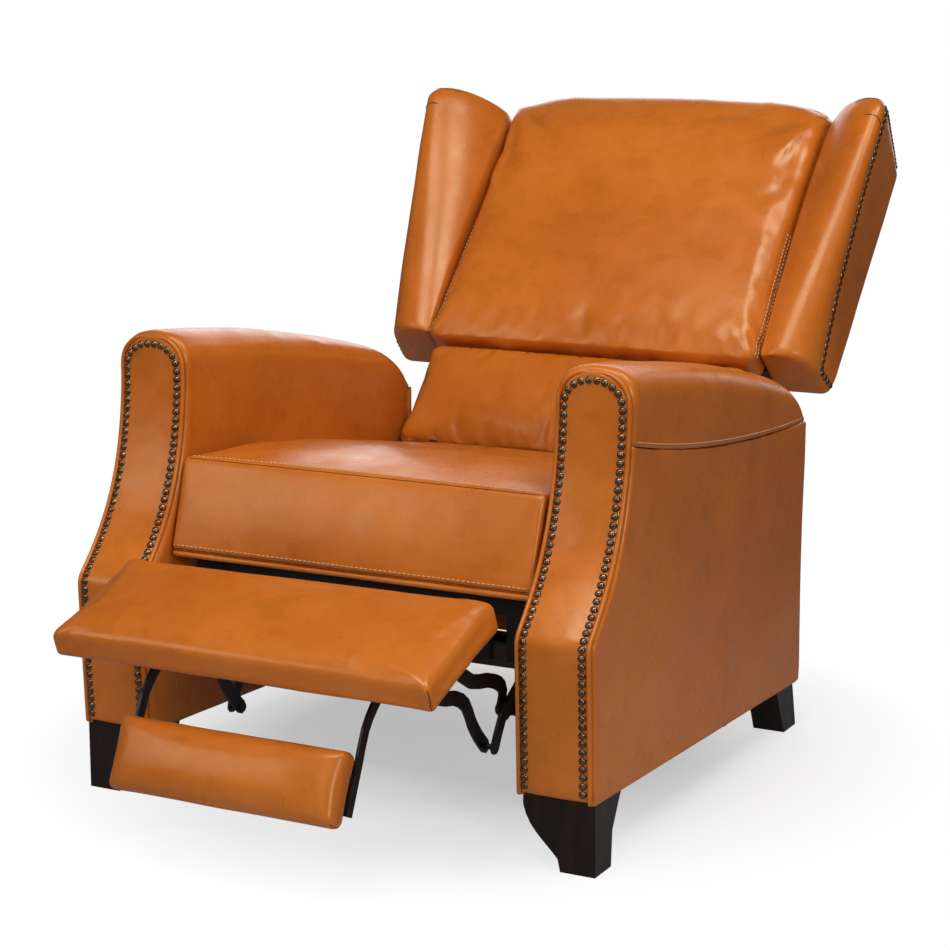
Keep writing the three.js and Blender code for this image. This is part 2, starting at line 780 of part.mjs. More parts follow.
function crossLink() {
  const route = [driveKnee, ...bends(driveKnee, ottomanLower, crossBendShares), ottomanLower];
  return linkPlate(layers.cross, [route], [{ at: driveKnee }, { at: ottomanLower }]);
}

function archLink() {
  const arch = [ottomanUpper, ...bends(ottomanUpper, driveMiddle, archBendShares), driveMiddle];
  const tail = [driveMiddle, archTail];
  return linkPlate(layers.arch, [arch, tail],
    [{ at: ottomanUpper, slack: ottomanSlack }, { at: driveMiddle }, { at: archTail, slack: archSlack }]);
}

function controlLink() {
  const plate = linkPlate(layers.drive, [[controlRoot, archTail]], [{ at: controlRoot }]);
  return join(plate, rivet(archTail, layers.drive, layers.arch, pinHeadRadius + archSlack));
}

addPair(chair, 'drive_link', driveLink(), blackSteel);
addPair(chair, 'cross_link', crossLink(), blackSteel);
addPair(chair, 'arch_link', archLink(), blackSteel);
addPair(chair, 'control_link', controlLink(), blackSteel);
const tubeHalfLength = plateInner(layers.drive) - fitGap;
add(chair, 'torque_tube',
  crossBar(driveRoot, torqueTubeRadius, -tubeHalfLength, tubeHalfLength, tubeSides), blackSteel);

// Swing links and base plates

const glideStep = turned([seatGlide, 0], -seatTilt);
const swingRise = Math.sqrt(swingLength ** 2 - (seatGlide / 2) ** 2);
const swingHoleLength = (swingLength + swingRise) / 2;
const swingSeatPivots = [frontSwingSeatU, rearSwingSeatU].map((u) => seatPlace(u, -swingDrop));
const swingBasePivots = [frontSwingSeatU, rearSwingSeatU].map((u) =>
  seatPlace(u + seatGlide / 2, -swingDrop - swingRise));

function swingLink(index) {
  const foot = swingBasePivots[index];
  const reach = swingHoleLength / distance(foot, swingSeatPivots[index]);
  const head = plus(foot, minus(swingSeatPivots[index], foot).map((d) => d * reach));
  return linkPlate(layers.swing, [[foot, head]], [{ at: foot }, { at: head, slack: swingSlack }]);
}

// The recline link stands on the rear cross tube and pushes the arm under the back hinge
const reclineArm = plus(backHinge, turned([0, -reclineArmDrop], -seatTilt));
const reclineArmEnd = plus(plus(backHinge, glideStep), turned(minus(reclineArm, backHinge), backTurn));
const reclineHalfTravel = distance(reclineArm, reclineArmEnd) / 2;
const reclineRise = Math.sqrt(reclineLinkLength ** 2 - reclineHalfTravel ** 2);
const reclineTravel = minus(reclineArmEnd, reclineArm).map((d) => d / (2 * reclineHalfTravel));
const crossTube = [
  (reclineArm[0] + reclineArmEnd[0]) / 2 + reclineTravel[1] * reclineRise,
  (reclineArm[1] + reclineArmEnd[1]) / 2 - reclineTravel[0] * reclineRise,
];

function reclineLink() {
  const fromX = plateInner(layers.arch);
  const toX = fromX + plateThickness;
  const reach = 1 - reclineSag / 2 / reclineLinkLength;
  const head = plus(crossTube, minus(reclineArm, crossTube).map((d) => d * reach));
  const route = [crossTube, head];
  const footRadius = crossTubeRadius + linkHalfWidth / 2 + pinClearance;
  const body = join(
    sidePlate(barShape(route, linkHalfWidth), fromX, toX),
    crossBar(crossTube, footRadius, fromX, toX, eyeSides),
    crossBar(head, pinRadius + linkHalfWidth / 2 + reclineSlack, fromX, toX, eyeSides),
  );
  const tubeHole = (crossTubeRadius + pinClearance) / Math.cos(Math.PI / tubeSides);
  return cut(body,
    crossBar(crossTube, tubeHole, fromX - overrun, toX + overrun, tubeSides),
    crossBar(head, holeRadius(reclineSlack), fromX - overrun, toX + overrun));
}

function basePlate() {
  const [railFront, railRear] = railFaces(frontRailY);
  const bottomZ = rearRailTopZ + fitGap;
  const rearY = armDepth - basePlateRearInset;
  const shape = shapeOf([
    [basePlateFrontY, frontRailBottomZ],
    [railFront - fitGap, frontRailBottomZ],
    [railFront - fitGap, frontRailTopZ + fitGap],
    [railRear + fitGap, frontRailTopZ + fitGap],
    [railRear + fitGap, bottomZ],
    [rearY, bottomZ],
    [rearY, basePlateBodyZ],
    [railRear + linkHalfWidth, basePlateBodyZ + linkHalfWidth],
    [railRear, basePlateHookZ],
    [basePlateFrontY, basePlateHookZ],
  ]);
  const fromX = plateInner(layers.base);
  const plate = sidePlate(shape, fromX, fromX + plateThickness);
  return join(plate, ...swingBasePivots.map((at) => rivet(at, layers.base, layers.swing)));
}

addPair(chair, 'base_plate', basePlate(), blackSteel);
addPair(chair, 'front_swing_link', swingLink(0), blackSteel);
addPair(chair, 'rear_swing_link', swingLink(1), blackSteel);
addPair(chair, 'recline_link', reclineLink(), blackSteel);
const crossTubeHalfLength = plateInner(layers.base) - fitGap;
add(chair, 'rear_cross_tube',
  crossBar(crossTube, crossTubeRadius, -crossTubeHalfLength, crossTubeHalfLength, tubeSides), blackSteel);

// Seat carriage

const frameTopW = -springWireDiameter - 2 * fitGap;
const frameBottomW = frameTopW - seatFrameDepth;
const boardRearY = frontBoardY + frontBoardThickness + fitGap - seatFrontBottom[0];
const seatFrameFrontU =
  (boardRearY - frameBottomW * Math.sin(rotation(seatTilt))) / Math.cos(rotation(seatTilt));
const flangeBottomW = frameBottomW - fitGap - plateThickness;

function seatRail() {
  const fromX = plateInner(layers.seatRail);
  const toX = fromX + plateThickness;
  const root = inSeat(driveRoot);
  const control = inSeat(controlRoot);
  const hinge = inSeat(backHinge);
  const topW = frameBottomW - fitGap;
  const shape = shapeOf([
    [root[0] - 2 * railLobe, topW],
    [root[0] - railLobe, root[1] + railLobe / 2],
    [root[0] - railLobe, root[1] - railLobe / 2],
    [root[0] - railLobe / 2, root[1] - railLobe],
    [control[0] - railLobe / 2, control[1] - railLobe],
    [control[0] + railLobe / 2, control[1] - railLobe],
    [control[0] + railLobe, control[1] - railLobe / 2],
    [control[0] + 3 * railLobe, -railHangDepth],
    [rearSwingSeatU + railLobe, -railHangDepth],
    [seatFrameRearU, (topW - railHangDepth) / 2],
    [hinge[0] - hingeUprightHalfWidth, (topW - railHangDepth) / 2],
    [hinge[0] + hingeUprightHalfWidth, topW],
    [hinge[0] + hingeUprightHalfWidth, hinge[1] - hingeLobe],
    [hinge[0] - hingeUprightHalfWidth, hinge[1] - hingeLobe],
    [hinge[0] - hingeUprightHalfWidth, topW],
  ]);
  const web = sidePlate(shape, fromX, toX);
  const flange = block(fromX, fromX + seatFlangeWidth, root[0] - 2 * railLobe, seatFrameRearU,
    flangeBottomW, topW);
  const lobe = crossBar(hinge, hingeLobe, fromX, toX, eyeSides);
  const upright = block(fromX, toX, hinge[0] - hingeLobe, hinge[0] + hingeLobe,
    hinge[1] - 2 * hingeLobe, hinge[1]);
  return join(join(web, flange, lobe, upright),
    stud(root, layers.seatRail),
    rivet(control, layers.seatRail, layers.drive),
    rivet(hinge, layers.seatRail, layers.drive),
    rivet([frontSwingSeatU, -swingDrop], layers.seatRail, layers.swing, pinHeadRadius + swingSlack),
    rivet([rearSwingSeatU, -swingDrop], layers.seatRail, layers.swing, pinHeadRadius + swingSlack));
}

function seatFrame() {
  const outer = block(-seatFrameOuterX, seatFrameOuterX, seatFrameFrontU, seatFrameRearU,
    frameBottomW, frameTopW);
  const window = block(-seatFrameInnerX, seatFrameInnerX, seatFrameFrontU + seatFrameRailWidth,
    seatFrameRearU - seatFrameRailWidth, frameBottomW - overrun, frameTopW + overrun);
  return cut(outer, window);
}

// A sinuous spring across the seat frame: a flat wave of wire from the front rail to the rear rail
function seatSpring() {
  const fromU = seatFrameFrontU + seatFrameRailWidth / 3;
  const toU = seatFrameRearU - seatFrameRailWidth / 3;
  const waves = Math.round((toU - fromU) / springPitch);
  const points = [new THREE.Vector3(0, fromU, 0)];
  for (let k = 0; k < 2 * waves; k += 1) {
    const u = fromU + (toU - fromU) * ((2 * k + 1) / (4 * waves));
    const side = k % 2 === 0 ? 1 : -1;
    points.push(new THREE.Vector3(side * springHalfWave, u - springPitch / 10, 0));
    points.push(new THREE.Vector3(side * springHalfWave, u + springPitch / 10, 0));
  }
  points.push(new THREE.Vector3(0, toU, 0));
  const radius = springWireDiameter / 2;
  const rings = points.map((p, k) => {
    const before = points[Math.max(0, k - 1)];
    const after = points[Math.min(points.length - 1, k + 1)];
    const along = after.clone().sub(before).normalize();
    const across = new THREE.Vector3().crossVectors(along, zAxis);
    return Array.from({ length: springWireSides }, (_, i) => {
      const angle = (2 * Math.PI * (i + 1 / 4)) / springWireSides;
      const out = across.clone().multiplyScalar(radius * Math.cos(angle));
      return p.clone().add(out).addScaledVector(zAxis, radius * Math.sin(angle));
    });
  });
  return loft(rings);
}

function seatCushion() {
  const outline = roundedBox(-seatHalfWidth, seatHalfWidth, 0, seatLength, seatCornerRadius);
  const faceAt = (v) => {
    const share = Math.min(1, Math.max(0, v) / seatRampLength);
    return seatFrontThickness + (seatThickness - seatFrontThickness) * Math.sin((share * Math.PI) / 2);
  };
  const leanAt = (v) => seatFrontLean * Math.max(0, 1 - v / seatLength);
  return cushion({
    outline: outline.getSpacedPoints(40).slice(0, -1),
    faceAt,
    leanAt,
    edge: seatEdgeRadius,
    drawnIn: seatSideDraw,
    crown: seatCrown,
  });
}

// The black board under the seat front, slotted where the footrest links fold through
function seatFrontBoard() {
  const slotInnerX = plateInner(layers.cross) - frontBoardSlotMargin;
  const slotOuterX = plateInner(layers.seatRail);
  const halfWidth = seatHalfWidth - frontBoardSideInset;
  const boardRearU = frontBoardY - seatFrontBottom[0] + frontBoardThickness;
  const topZ = seatPlace(boardRearU, -lipThickness)[1] - 2 * fitGap;
  const half = [
    [slotInnerX, frontBoardBottomZ], [slotInnerX, frontBoardSlotTopZ],
    [slotOuterX, frontBoardSlotTopZ], [slotOuterX, frontBoardBottomZ], [halfWidth, frontBoardBottomZ],
    [halfWidth, topZ],
  ];
  const shape = shapeOf([...half, ...half.map(([x, z]) => [-x, z]).reverse()]);
  return frontPlate(shape, frontBoardY, frontBoardY + frontBoardThickness);
}

addPair(seat, 'seat_rail', seatRail(), blackSteel);
add(seat, 'seat_frame', seatFrame(), paleWood);
add(seat, 'seat_cushion', seatCushion(), leather);
const lipHalfWidth = seatHalfWidth - lipInset;
add(seat, 'seat_front_rail',
  block(-lipHalfWidth, lipHalfWidth, lipInset, lipLength, -lipThickness, -fitGap), leather);
add(chair, 'seat_front_board', seatFrontBoard(), blackCloth);
for (let k = 0; k < springCount; k += 1) {
  const x = seatFrameInnerX * ((2 * k + 1) / springCount - 1);
  const spring = seatSpring().translate(x, 0, frameTopW + fitGap + springWireDiameter / 2);
  add(seat, `seat_spring_${k + 1}`, spring, springSteel);
}

// Back

function backFrame() {
  const faces = [backFrameFrontSetback, backFrameRearSetback];
  const post = block(backPostInnerX, backPostOuterX, ...faces, backFrameBottomHeight, backFrameTopHeight);
  const rail = (halfWidth, bottom) => block(-halfWidth, halfWidth, ...faces, bottom, bottom + backRailHeight);
  return join(post, mirrored(post),
    rail(lumbarHalfWidth - backFrameSideInset, backFrameBottomHeight),
    rail(pillowHalfWidth, wingBottomHeight + shoulderRailLift),
    rail(pillowHalfWidth, backFrameTopHeight - backRailHeight));
}

// A cushion's outline plane is (x, v) and its face looks up: stood on the back's frame, v runs up it
const standing = (geometry) =>
  geometry.applyMatrix4(frontView).translate(0, backFrameFrontSetback - fitGap, 0);
const depthOnFrame = (lead) => backFrameFrontSetback - fitGap + lead;

function lumbarCushion() {
  const outline = roundedBox(
    -lumbarHalfWidth, lumbarHalfWidth, lumbarBottomHeight, lumbarTopHeight, lumbarCornerRadius);
  return standing(cushion({
    outline: outline.getSpacedPoints(36).slice(0, -1),
    faceAt: () => depthOnFrame(lumbarFaceLead),
    edge: lumbarEdgeRadius,
    drawnIn: lumbarSideDraw,
    crown: lumbarCrown,
  }));
}

// The head pillow: straight sides that widen a little, and a high crowned top
const pillowFootShare = 0.985;
const pillowCrownShare = 0.66;

function headPillow() {
  const foot = pillowHalfWidth * pillowFootShare;
  const radius = pillowCornerRadius;
  const crownX = pillowHalfWidth * pillowCrownShare;
  const shape = new THREE.Shape();
  shape.moveTo(0, pillowBottomHeight);
  shape.lineTo(foot - radius, pillowBottomHeight);
  shape.quadraticCurveTo(foot, pillowBottomHeight, foot, pillowBottomHeight + radius);
  shape.lineTo(pillowHalfWidth, pillowCornerHeight - radius);
  shape.quadraticCurveTo(pillowHalfWidth, pillowCornerHeight + radius / 2, crownX, pillowCrownHeight);
  shape.lineTo(0, pillowCrownHeight);
  shape.lineTo(-crownX, pillowCrownHeight);
  shape.quadraticCurveTo(
    -pillowHalfWidth, pillowCornerHeight + radius / 2, -pillowHalfWidth, pillowCornerHeight - radius);
  shape.lineTo(-foot, pillowBottomHeight + radius);
  shape.quadraticCurveTo(-foot, pillowBottomHeight, -foot + radius, pillowBottomHeight);
  shape.lineTo(0, pillowBottomHeight);
  return standing(cushion({
    outline: shape.getSpacedPoints(48).slice(0, -1),
    faceAt: () => depthOnFrame(pillowFaceLead),
    edge: pillowEdgeRadius,
    drawnIn: pillowSideDraw,
    crown: pillowCrown,
  }));
}

// Distance from an end and inset of the rings that round it, by angle
const domeRings = (radius, degrees) => degrees.map((angle) => ({
  fromEnd: radius * (1 - Math.sin(rotation(angle))),
  inset: radius * (1 - Math.cos(rotation(angle))),
}));

// Where the wing's sections stand: angles round its two ends, and shares of its height between
const wingFootDegrees = [70, 30, 0];
const wingDomeDegrees = [0, 25, 50, 75];
const wingMiddleShares = [0.2, 0.4, 0.6, 0.78];

// A wing: full wedge sections up the back, from the pillow's edge to a rounded front edge, domed on top
function wing() {
  const span = wingTopHeight - wingBottomHeight;
  const foot = domeRings(wingEndRadius, wingFootDegrees)
    .map(({ fromEnd, inset }) => ({ level: fromEnd / span, inset }));
  const dome = domeRings(wingDomeRadius, wingDomeDegrees)
    .map(({ fromEnd, inset }) => ({ level: 1 - fromEnd / span, inset }));
  const middle = wingMiddleShares.map((level) => ({ level, inset: 0 }));
  const footX = overallHalfWidth - wingFootInset;
  const topX = overallHalfWidth + wingTopFlare;
  const rings = [...foot, ...middle, ...dome].map(({ level, inset }) => {
    const frontX = THREE.MathUtils.lerp(footX, topX, level);
    const frontSetback = THREE.MathUtils.lerp(wingFootFrontSetback, -wingTopFrontLead, level);
    const nose = new THREE.Vector2(frontX - inset, frontSetback + inset);
    const rear = new THREE.Vector2(
      overallHalfWidth - wingRearInset - inset,
      THREE.MathUtils.lerp(wingRearFootSetback, wingRearTopSetback, level) - inset / 4,
    );
    const inner = new THREE.Vector2(
      wingInnerX + inset / 4,
      wingInnerSetback - pillowFaceLead + wingInnerEndSetback * (2 * level - 1) ** 2,
    );
    const face = nose.clone().sub(inner);
    const swell = new THREE.Vector2(face.y, -face.x).normalize().multiplyScalar(2 * wingBulge);
    const pull = inner.clone().lerp(nose, 1 / 2).add(swell);
    const behindNose = rear.clone().sub(nose).setLength(wingRollRadius).add(nose);
    const section = new THREE.Path();
    section.moveTo(inner.x, rear.y);
    section.lineTo(inner.x, inner.y);
    section.bezierCurveTo(pull.x, pull.y, nose.x, nose.y, behindNose.x, behindNose.y);
    section.lineTo(rear.x, rear.y - wingRearCornerRadius);
    section.quadraticCurveTo(rear.x, rear.y, rear.x - wingRearCornerRadius, rear.y);
    return section.getPoints(7).map((p) => {
      const top = wingTopHeight + wingTopRise * ((p.y - nose.y) / (rear.y - nose.y));
      return new THREE.Vector3(p.x, p.y, THREE.MathUtils.lerp(wingBottomHeight, top, level));
    });
  });
  return loft(rings);
}

function backOuterPanel() {
  const low = lumbarHalfWidth;
  const high = pillowHalfWidth;
  const shoulder = wingBottomHeight + backRailHeight / 4;
  const half = [
    [low, lumbarBottomHeight + backPanelBottomLift],
    [low, shoulder],
    [high, shoulder + backPanelShoulderStep],
    [high, backPanelTopHeight - backPanelCornerCut],
    [high - backPanelCornerCut, backPanelTopHeight],
  ];
  const shape = shapeOf([...half, ...half.map(([x, height]) => [-x, height]).reverse()]);
  const near = backFrameRearSetback + fitGap;
  return frontPlate(shape, near, near + backPanelThickness);
}

function backBracket() {
  const fromX = plateInner(layers.drive);
  const toX = fromX + plateThickness;
  const arm = inBack(reclineArm);
  const front = backFrameFrontSetback;
  const strapTop = backFrameBottomHeight + 3 * backRailHeight;
  const elbow = lumbarBottomHeight - plateGap;
  const strap = shapeOf([
    [-linkHalfWidth, 0],
    [-linkHalfWidth / 2, linkHalfWidth - plateGap],
    [front, elbow],
    [front + plateGap, strapTop],
    [front + strapWidth, strapTop],
    [front + strapWidth, elbow - strapWidth / 2],
    [front, elbow - strapWidth],
    [0, -linkHalfWidth],
  ]);
  const body = join(
    sidePlate(barShape([arm, [0, 0]], linkHalfWidth), fromX, toX),
    sidePlate(strap, fromX, toX),
  );
  const drilled = cut(body, crossBar([0, 0], holeRadius(), fromX - overrun, toX + overrun));
  return join(drilled, rivet(arm, layers.drive, layers.arch, pinHeadRadius + reclineSlack));
}

function bracketRelief() {
  return block(plateInner(layers.drive) - plateGap, backPostInnerX,
    backFrameFrontSetback - overrun, backFrameFrontSetback + strapWidth + 2 * fitGap,
    backFrameBottomHeight - overrun, backFrameBottomHeight + 3 * backRailHeight + plateGap);
}

add(back, 'back_frame', cut(backFrame(), bracketRelief(), mirrored(bracketRelief())), paleWood);
add(back, 'lumbar_cushion', lumbarCushion(), leather);
add(back, 'head_pillow', headPillow(), leather);
addPair(back, 'wing', wing(), leather);
add(back, 'back_outer_panel', backOuterPanel(), leather);
addPair(back, 'back_bracket', backBracket(), blackSteel);

// Footrest

function footPad({ halfWidth, depth, thickness, crown, inset, boardThickness, edge }) {
  const outline = roundedBox(-halfWidth, halfWidth, -depth, 0, padCornerRadius);
  const pad = cushion({
    outline: outline.getSpacedPoints(28).slice(0, -1),
    faceAt: () => thickness,
    edge,
    drawnIn: padSideDraw,
    crown,
  }).translate(0, 0, -thickness);
  const recess = block(-halfWidth + inset, halfWidth - inset, -depth + inset, -inset,
    -thickness - overrun, -thickness + boardThickness);
  const board = block(-halfWidth + inset + fitGap, halfWidth - inset - fitGap,
    -depth + inset + fitGap, -inset - fitGap, -thickness, -thickness + boardThickness - fitGap);
  return { pad: cut(pad, recess), board };
}

const ottomanParts = footPad({
  halfWidth: ottomanHalfWidth,
  depth: ottomanDepth,
  thickness: ottomanThickness,
  crown: ottomanCrown,
  inset: ottomanBoardInset,
  boardThickness: ottomanBoardThickness,
  edge: ottomanEdgeRadius,
});
const miniParts = footPad({
  halfWidth: miniHalfWidth,
  depth: miniDepth,
  thickness: miniThickness,
  crown: miniCrown,
  inset: miniBoardInset,
  boardThickness: miniBoardThickness,
  edge: miniEdgeRadius,
});

const inOttoman = (place) => turned(minus(place, ottomanTopRear), -ottomanSlope);
const inMini = (place) => turned(minus(place, miniTop), -miniSlope);

// The footrest bracket: an ear with both link pivots, a flange under the board and a lug for the flip pad
function ottomanBracket() {
  const fromX = plateInner(layers.bracket);
  const toX = fromX + plateThickness;
  const lower = inOttoman(ottomanLower);
  const upper = inOttoman(ottomanUpper);
  const lug = inOttoman(miniPivot);
  const topZ = -ottomanThickness - fitGap;
  const lugOuterX = miniArmOuterX + plateGap + plateThickness;
  const ear = shapeOf([
    [upper[0] + 2 * linkHalfWidth, topZ],
    [upper[0] + linkHalfWidth, upper[1] - linkHalfWidth],
    [lower[0] + linkHalfWidth, lower[1] - linkHalfWidth / 2],
    [lower[0] + linkHalfWidth / 2, lower[1] - linkHalfWidth],
    [lower[0] - linkHalfWidth / 2, lower[1] - linkHalfWidth],
    [lower[0] - linkHalfWidth, lower[1] - linkHalfWidth / 2],
    [-ottomanDepth + 2 * ottomanBoardInset, topZ - plateThickness],
    [-ottomanDepth + 2 * ottomanBoardInset, topZ],
  ]);
  const flange = block(lugOuterX - plateThickness, toX, -ottomanDepth + 2 * ottomanBoardInset,
    upper[0] + linkHalfWidth, topZ - plateThickness, topZ);
  const lugShape = shapeOf([
    [lug[0] + 2 * miniArmHalfWidth, topZ],
    [lug[0] + miniArmHalfWidth, lug[1] - miniArmHalfWidth / 2],
    [lug[0] + miniArmHalfWidth / 2, lug[1] - miniArmHalfWidth],
    [lug[0] - miniArmHalfWidth / 2, lug[1] - miniArmHalfWidth],
    [lug[0] - miniArmHalfWidth, lug[1] - miniArmHalfWidth / 2],
    [lug[0] - 2 * miniArmHalfWidth, topZ],
  ]);
  const lugFromX = lugOuterX - plateThickness;
  const miniPinEnd = miniArmOuterX - plateThickness - fitGap;
  return join(
    sidePlate(ear, fromX, toX),
    flange,
    sidePlate(lugShape, lugFromX, lugOuterX),
    crossBar(lug, pinRadius, miniPinEnd, lugFromX + plateThickness / 2),
    crossBar(lug, pinHeadRadius, miniPinEnd - pinHeadThickness, miniPinEnd),
    rivet(lower, layers.bracket, layers.cross),
    rivet(upper, layers.bracket, layers.arch, pinHeadRadius + ottomanSlack),
  );
}

// The flip pad's arm bends from the pivot round to the back of its board, from its heel to its toe
const miniArmBendShares = [[0.3, 0.08], [0.62, 0.1]];
const miniHeelShare = 0.06;
const miniToeShare = 0.8;

function miniBracket() {
  const fromX = miniArmOuterX - plateThickness;
  const pivot = inMini(miniPivot);
  const backZ = -miniThickness - fitGap;
  const heel = [-miniDepth * miniHeelShare, backZ - miniArmHalfWidth];
  const toe = [-miniDepth * miniToeShare, backZ - miniArmHalfWidth];
  const route = [pivot, ...bends(pivot, heel, miniArmBendShares), heel];
  const flange = block(fromX - 4 * plateThickness, miniArmOuterX, toe[0], heel[0],
    backZ - plateThickness, backZ);
  const web = block(fromX, miniArmOuterX, toe[0], heel[0], backZ - 2 * miniArmHalfWidth, backZ);
  const arm = sidePlate(barShape(route, miniArmHalfWidth), fromX, miniArmOuterX);
  return cut(join(arm, web, flange), crossBar(pivot, holeRadius(), fromX - overrun, miniArmOuterX + overrun));
}

add(ottoman, 'ottoman_pad', ottomanParts.pad, leather);
add(ottoman, 'ottoman_board', ottomanParts.board, blackCloth);
addPair(ottoman, 'ottoman_bracket', ottomanBracket(), blackSteel);
add(mini, 'flip_pad', miniParts.pad, leather);
add(mini, 'flip_board', miniParts.board, blackCloth);
addPair(mini, 'flip_bracket', miniBracket(), blackSteel);

export default chair;
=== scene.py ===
import itertools
import json
import math

import bpy
import numpy as np
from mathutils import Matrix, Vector
from mathutils.bvhtree import BVHTree

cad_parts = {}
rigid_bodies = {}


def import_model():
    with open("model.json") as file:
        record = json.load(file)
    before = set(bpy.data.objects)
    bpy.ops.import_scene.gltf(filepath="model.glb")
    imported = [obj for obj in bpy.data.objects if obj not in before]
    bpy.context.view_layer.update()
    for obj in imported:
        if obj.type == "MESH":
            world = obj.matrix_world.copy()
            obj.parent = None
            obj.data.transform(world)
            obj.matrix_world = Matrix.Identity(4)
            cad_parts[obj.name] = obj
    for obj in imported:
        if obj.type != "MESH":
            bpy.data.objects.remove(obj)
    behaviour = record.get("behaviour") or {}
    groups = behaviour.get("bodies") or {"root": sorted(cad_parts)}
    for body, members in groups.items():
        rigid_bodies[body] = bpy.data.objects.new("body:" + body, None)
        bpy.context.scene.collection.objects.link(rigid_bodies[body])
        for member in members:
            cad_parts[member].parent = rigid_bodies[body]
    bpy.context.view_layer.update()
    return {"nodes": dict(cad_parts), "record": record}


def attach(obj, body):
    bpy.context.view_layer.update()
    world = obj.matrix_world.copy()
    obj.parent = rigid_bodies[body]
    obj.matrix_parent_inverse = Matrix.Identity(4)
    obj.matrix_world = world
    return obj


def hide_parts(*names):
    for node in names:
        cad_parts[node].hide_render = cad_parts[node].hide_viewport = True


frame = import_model()

MM = 0.001
FRONT_TO_ORIGIN = 480.354
SIDES = {"left": 1.0, "right": -1.0}

# Sizes repeated from the drawing
ARM_INNER_X, ARM_OUTER_X = 286.4, 401.0
ARM_MIDDLE_X = (ARM_INNER_X + ARM_OUTER_X) / 2
ARM_REAR_Y = 765.0
ARM_TOP_Z, ARM_CREST_Y = 650.0, 140.0
ARM_END_TUCK, ARM_END_RUN = 7.0, 90.0
ARM_FRONT_Y = 112.0
PANEL_HALF, ARCH_RISE = 49.0, 46.0
COVER_THICKNESS, COVER_SETBACK, FOOT_CURVE = 7.0, 6.0, 20.0
SEAT_FOOT, SEAT_TILT = (59.0, 357.0), math.radians(10)
BACK_RECLINE = math.radians(41)
OTTOMAN_CORNER, OTTOMAN_SLOPE = (-44.0, 364.0), math.radians(19.6)
FLIP_CORNER, FLIP_SLOPE = (-228.0, 204.0), math.radians(65.6)


# Camera

def aim_camera():
    """The photographed view: a long lens at the sitter's left front, a little above the seat."""
    azimuth, pitch = math.radians(27.62), math.radians(11.5)
    data = bpy.data.cameras.new("camera")
    data.lens, data.sensor_width = 92.67, 36.0
    data.clip_end = 100.0
    camera = bpy.data.objects.new("camera", data)
    bpy.context.scene.collection.objects.link(camera)
    camera.location = (1.6472, -3.18765, 1.1394)
    level = math.cos(pitch)
    forward = Vector((-math.sin(azimuth) * level, math.cos(azimuth) * level, -math.sin(pitch)))
    camera.rotation_euler = forward.to_track_quat("-Z", "Y").to_euler()
    bpy.context.scene.camera = camera


aim_camera()


# Mesh helpers

def to_metres(points):
    return (np.asarray(points, float) - (0.0, FRONT_TO_ORIGIN, 0.0)) * MM


def to_drawing(points):
    return np.asarray(points, float) / MM + (0.0, FRONT_TO_ORIGIN, 0.0)


def faces_of(rows, columns, wrap=False):
    """Quads between neighbouring points of a grid, whose last column may join its first."""
    row = np.arange(rows - 1)[:, None] * columns
    column = np.arange(columns if wrap else columns - 1)
    beside, below = (column + 1) % columns, row + columns
    return joined(row + column, row + beside, below + beside, below + column).reshape(-1, 4)


def signed_volume(points, quads):
    a, b, c, d = (points[quads[:, k]] for k in range(4))
    return float((np.einsum("ij,ij->i", a, np.cross(b, c)) + np.einsum("ij,ij->i", a, np.cross(c, d))).sum())


def piece(name, points, quads, body, finish, slot="cognac_leather"):
    """A closed mesh of drawing points and quads, turned to face outward, that rides on a body."""
    points, quads = np.asarray(points, float), np.asarray(quads)
    if signed_volume(points - points.mean(0), quads) < 0:
        quads = quads[:, ::-1]
    mesh = bpy.data.meshes.new(name)
    mesh.from_pydata(to_metres(points), [], quads)
    mesh.shade_smooth()
    mesh.materials.append(finish)
    made = bpy.data.objects.new(name, mesh)
    bpy.context.scene.collection.objects.link(made)
    made["rides"] = body
    return made


def joined(*columns):
    """Points, normals or quads from their columns, each of which may be one number."""
    return np.stack(np.broadcast_arrays(*columns), -1)


def mirrored(points, side):
    return points * (side, 1.0, 1.0)


def clamped(value):
    """A value kept between 0 and 1."""
    return np.clip(value, 0, 1)


def smoothed(line, times):
    """A line whose inner points are drawn toward their neighbours a few times."""
    for _ in range(times):
        line[1:-1] = (line[:-2] + 2 * line[1:-1] + line[2:]) / 4
    return line


def unit(vectors):
    return vectors / np.linalg.norm(vectors, axis=-1, keepdims=True)


def run_along(path):
    """The length of a path from its start to each of its points."""
    return np.concatenate([[0], np.cumsum(np.linalg.norm(np.diff(path, axis=0), axis=1))])


def at_run(places, run, path):
    """The columns of a path, or of what goes with it, at places along its run."""
    return np.stack([np.interp(places, run, path[:, k]) for k in range(path.shape[1])], -1)


def evenly(path, pitch):
    """Places along a path's run, centred and about a pitch apart, and the run itself."""
    run = run_along(path)
    count = int(run[-1] / pitch)
    return (np.arange(count) + 0.5) * run[-1] / count, run


def cubic(s, first, second, third, fourth):
    """A cubic curve of four control points at the share s of the way."""
    rest = 1 - s
    return rest ** 3 * first + 3 * rest ** 2 * s * second + 3 * rest * s ** 2 * third + s ** 3 * fourth


def closed_tube(rows, sides):
    """Quads of a tube of rings, both of whose end rings are filled by fans of quads."""
    fan = np.array([[0, k, k + 1, k + 2] for k in range(1, sides - 2, 2)])
    return np.concatenate([faces_of(rows, sides, wrap=True), fan[:, ::-1], fan + (rows - 1) * sides])


def repeated(rings, places, first, second, third):
    """One small closed shape of rings at each place, its own axes laid along three directions there."""
    points = places[:, None] + rings.reshape(-1, 3) @ np.stack([first, second, third], 1)
    quads = closed_tube(*rings.shape[:2])
    copies = quads + (np.arange(len(places)) * rings[..., 0].size)[:, None, None]
    return points.reshape(-1, 3), copies.reshape(-1, 4)


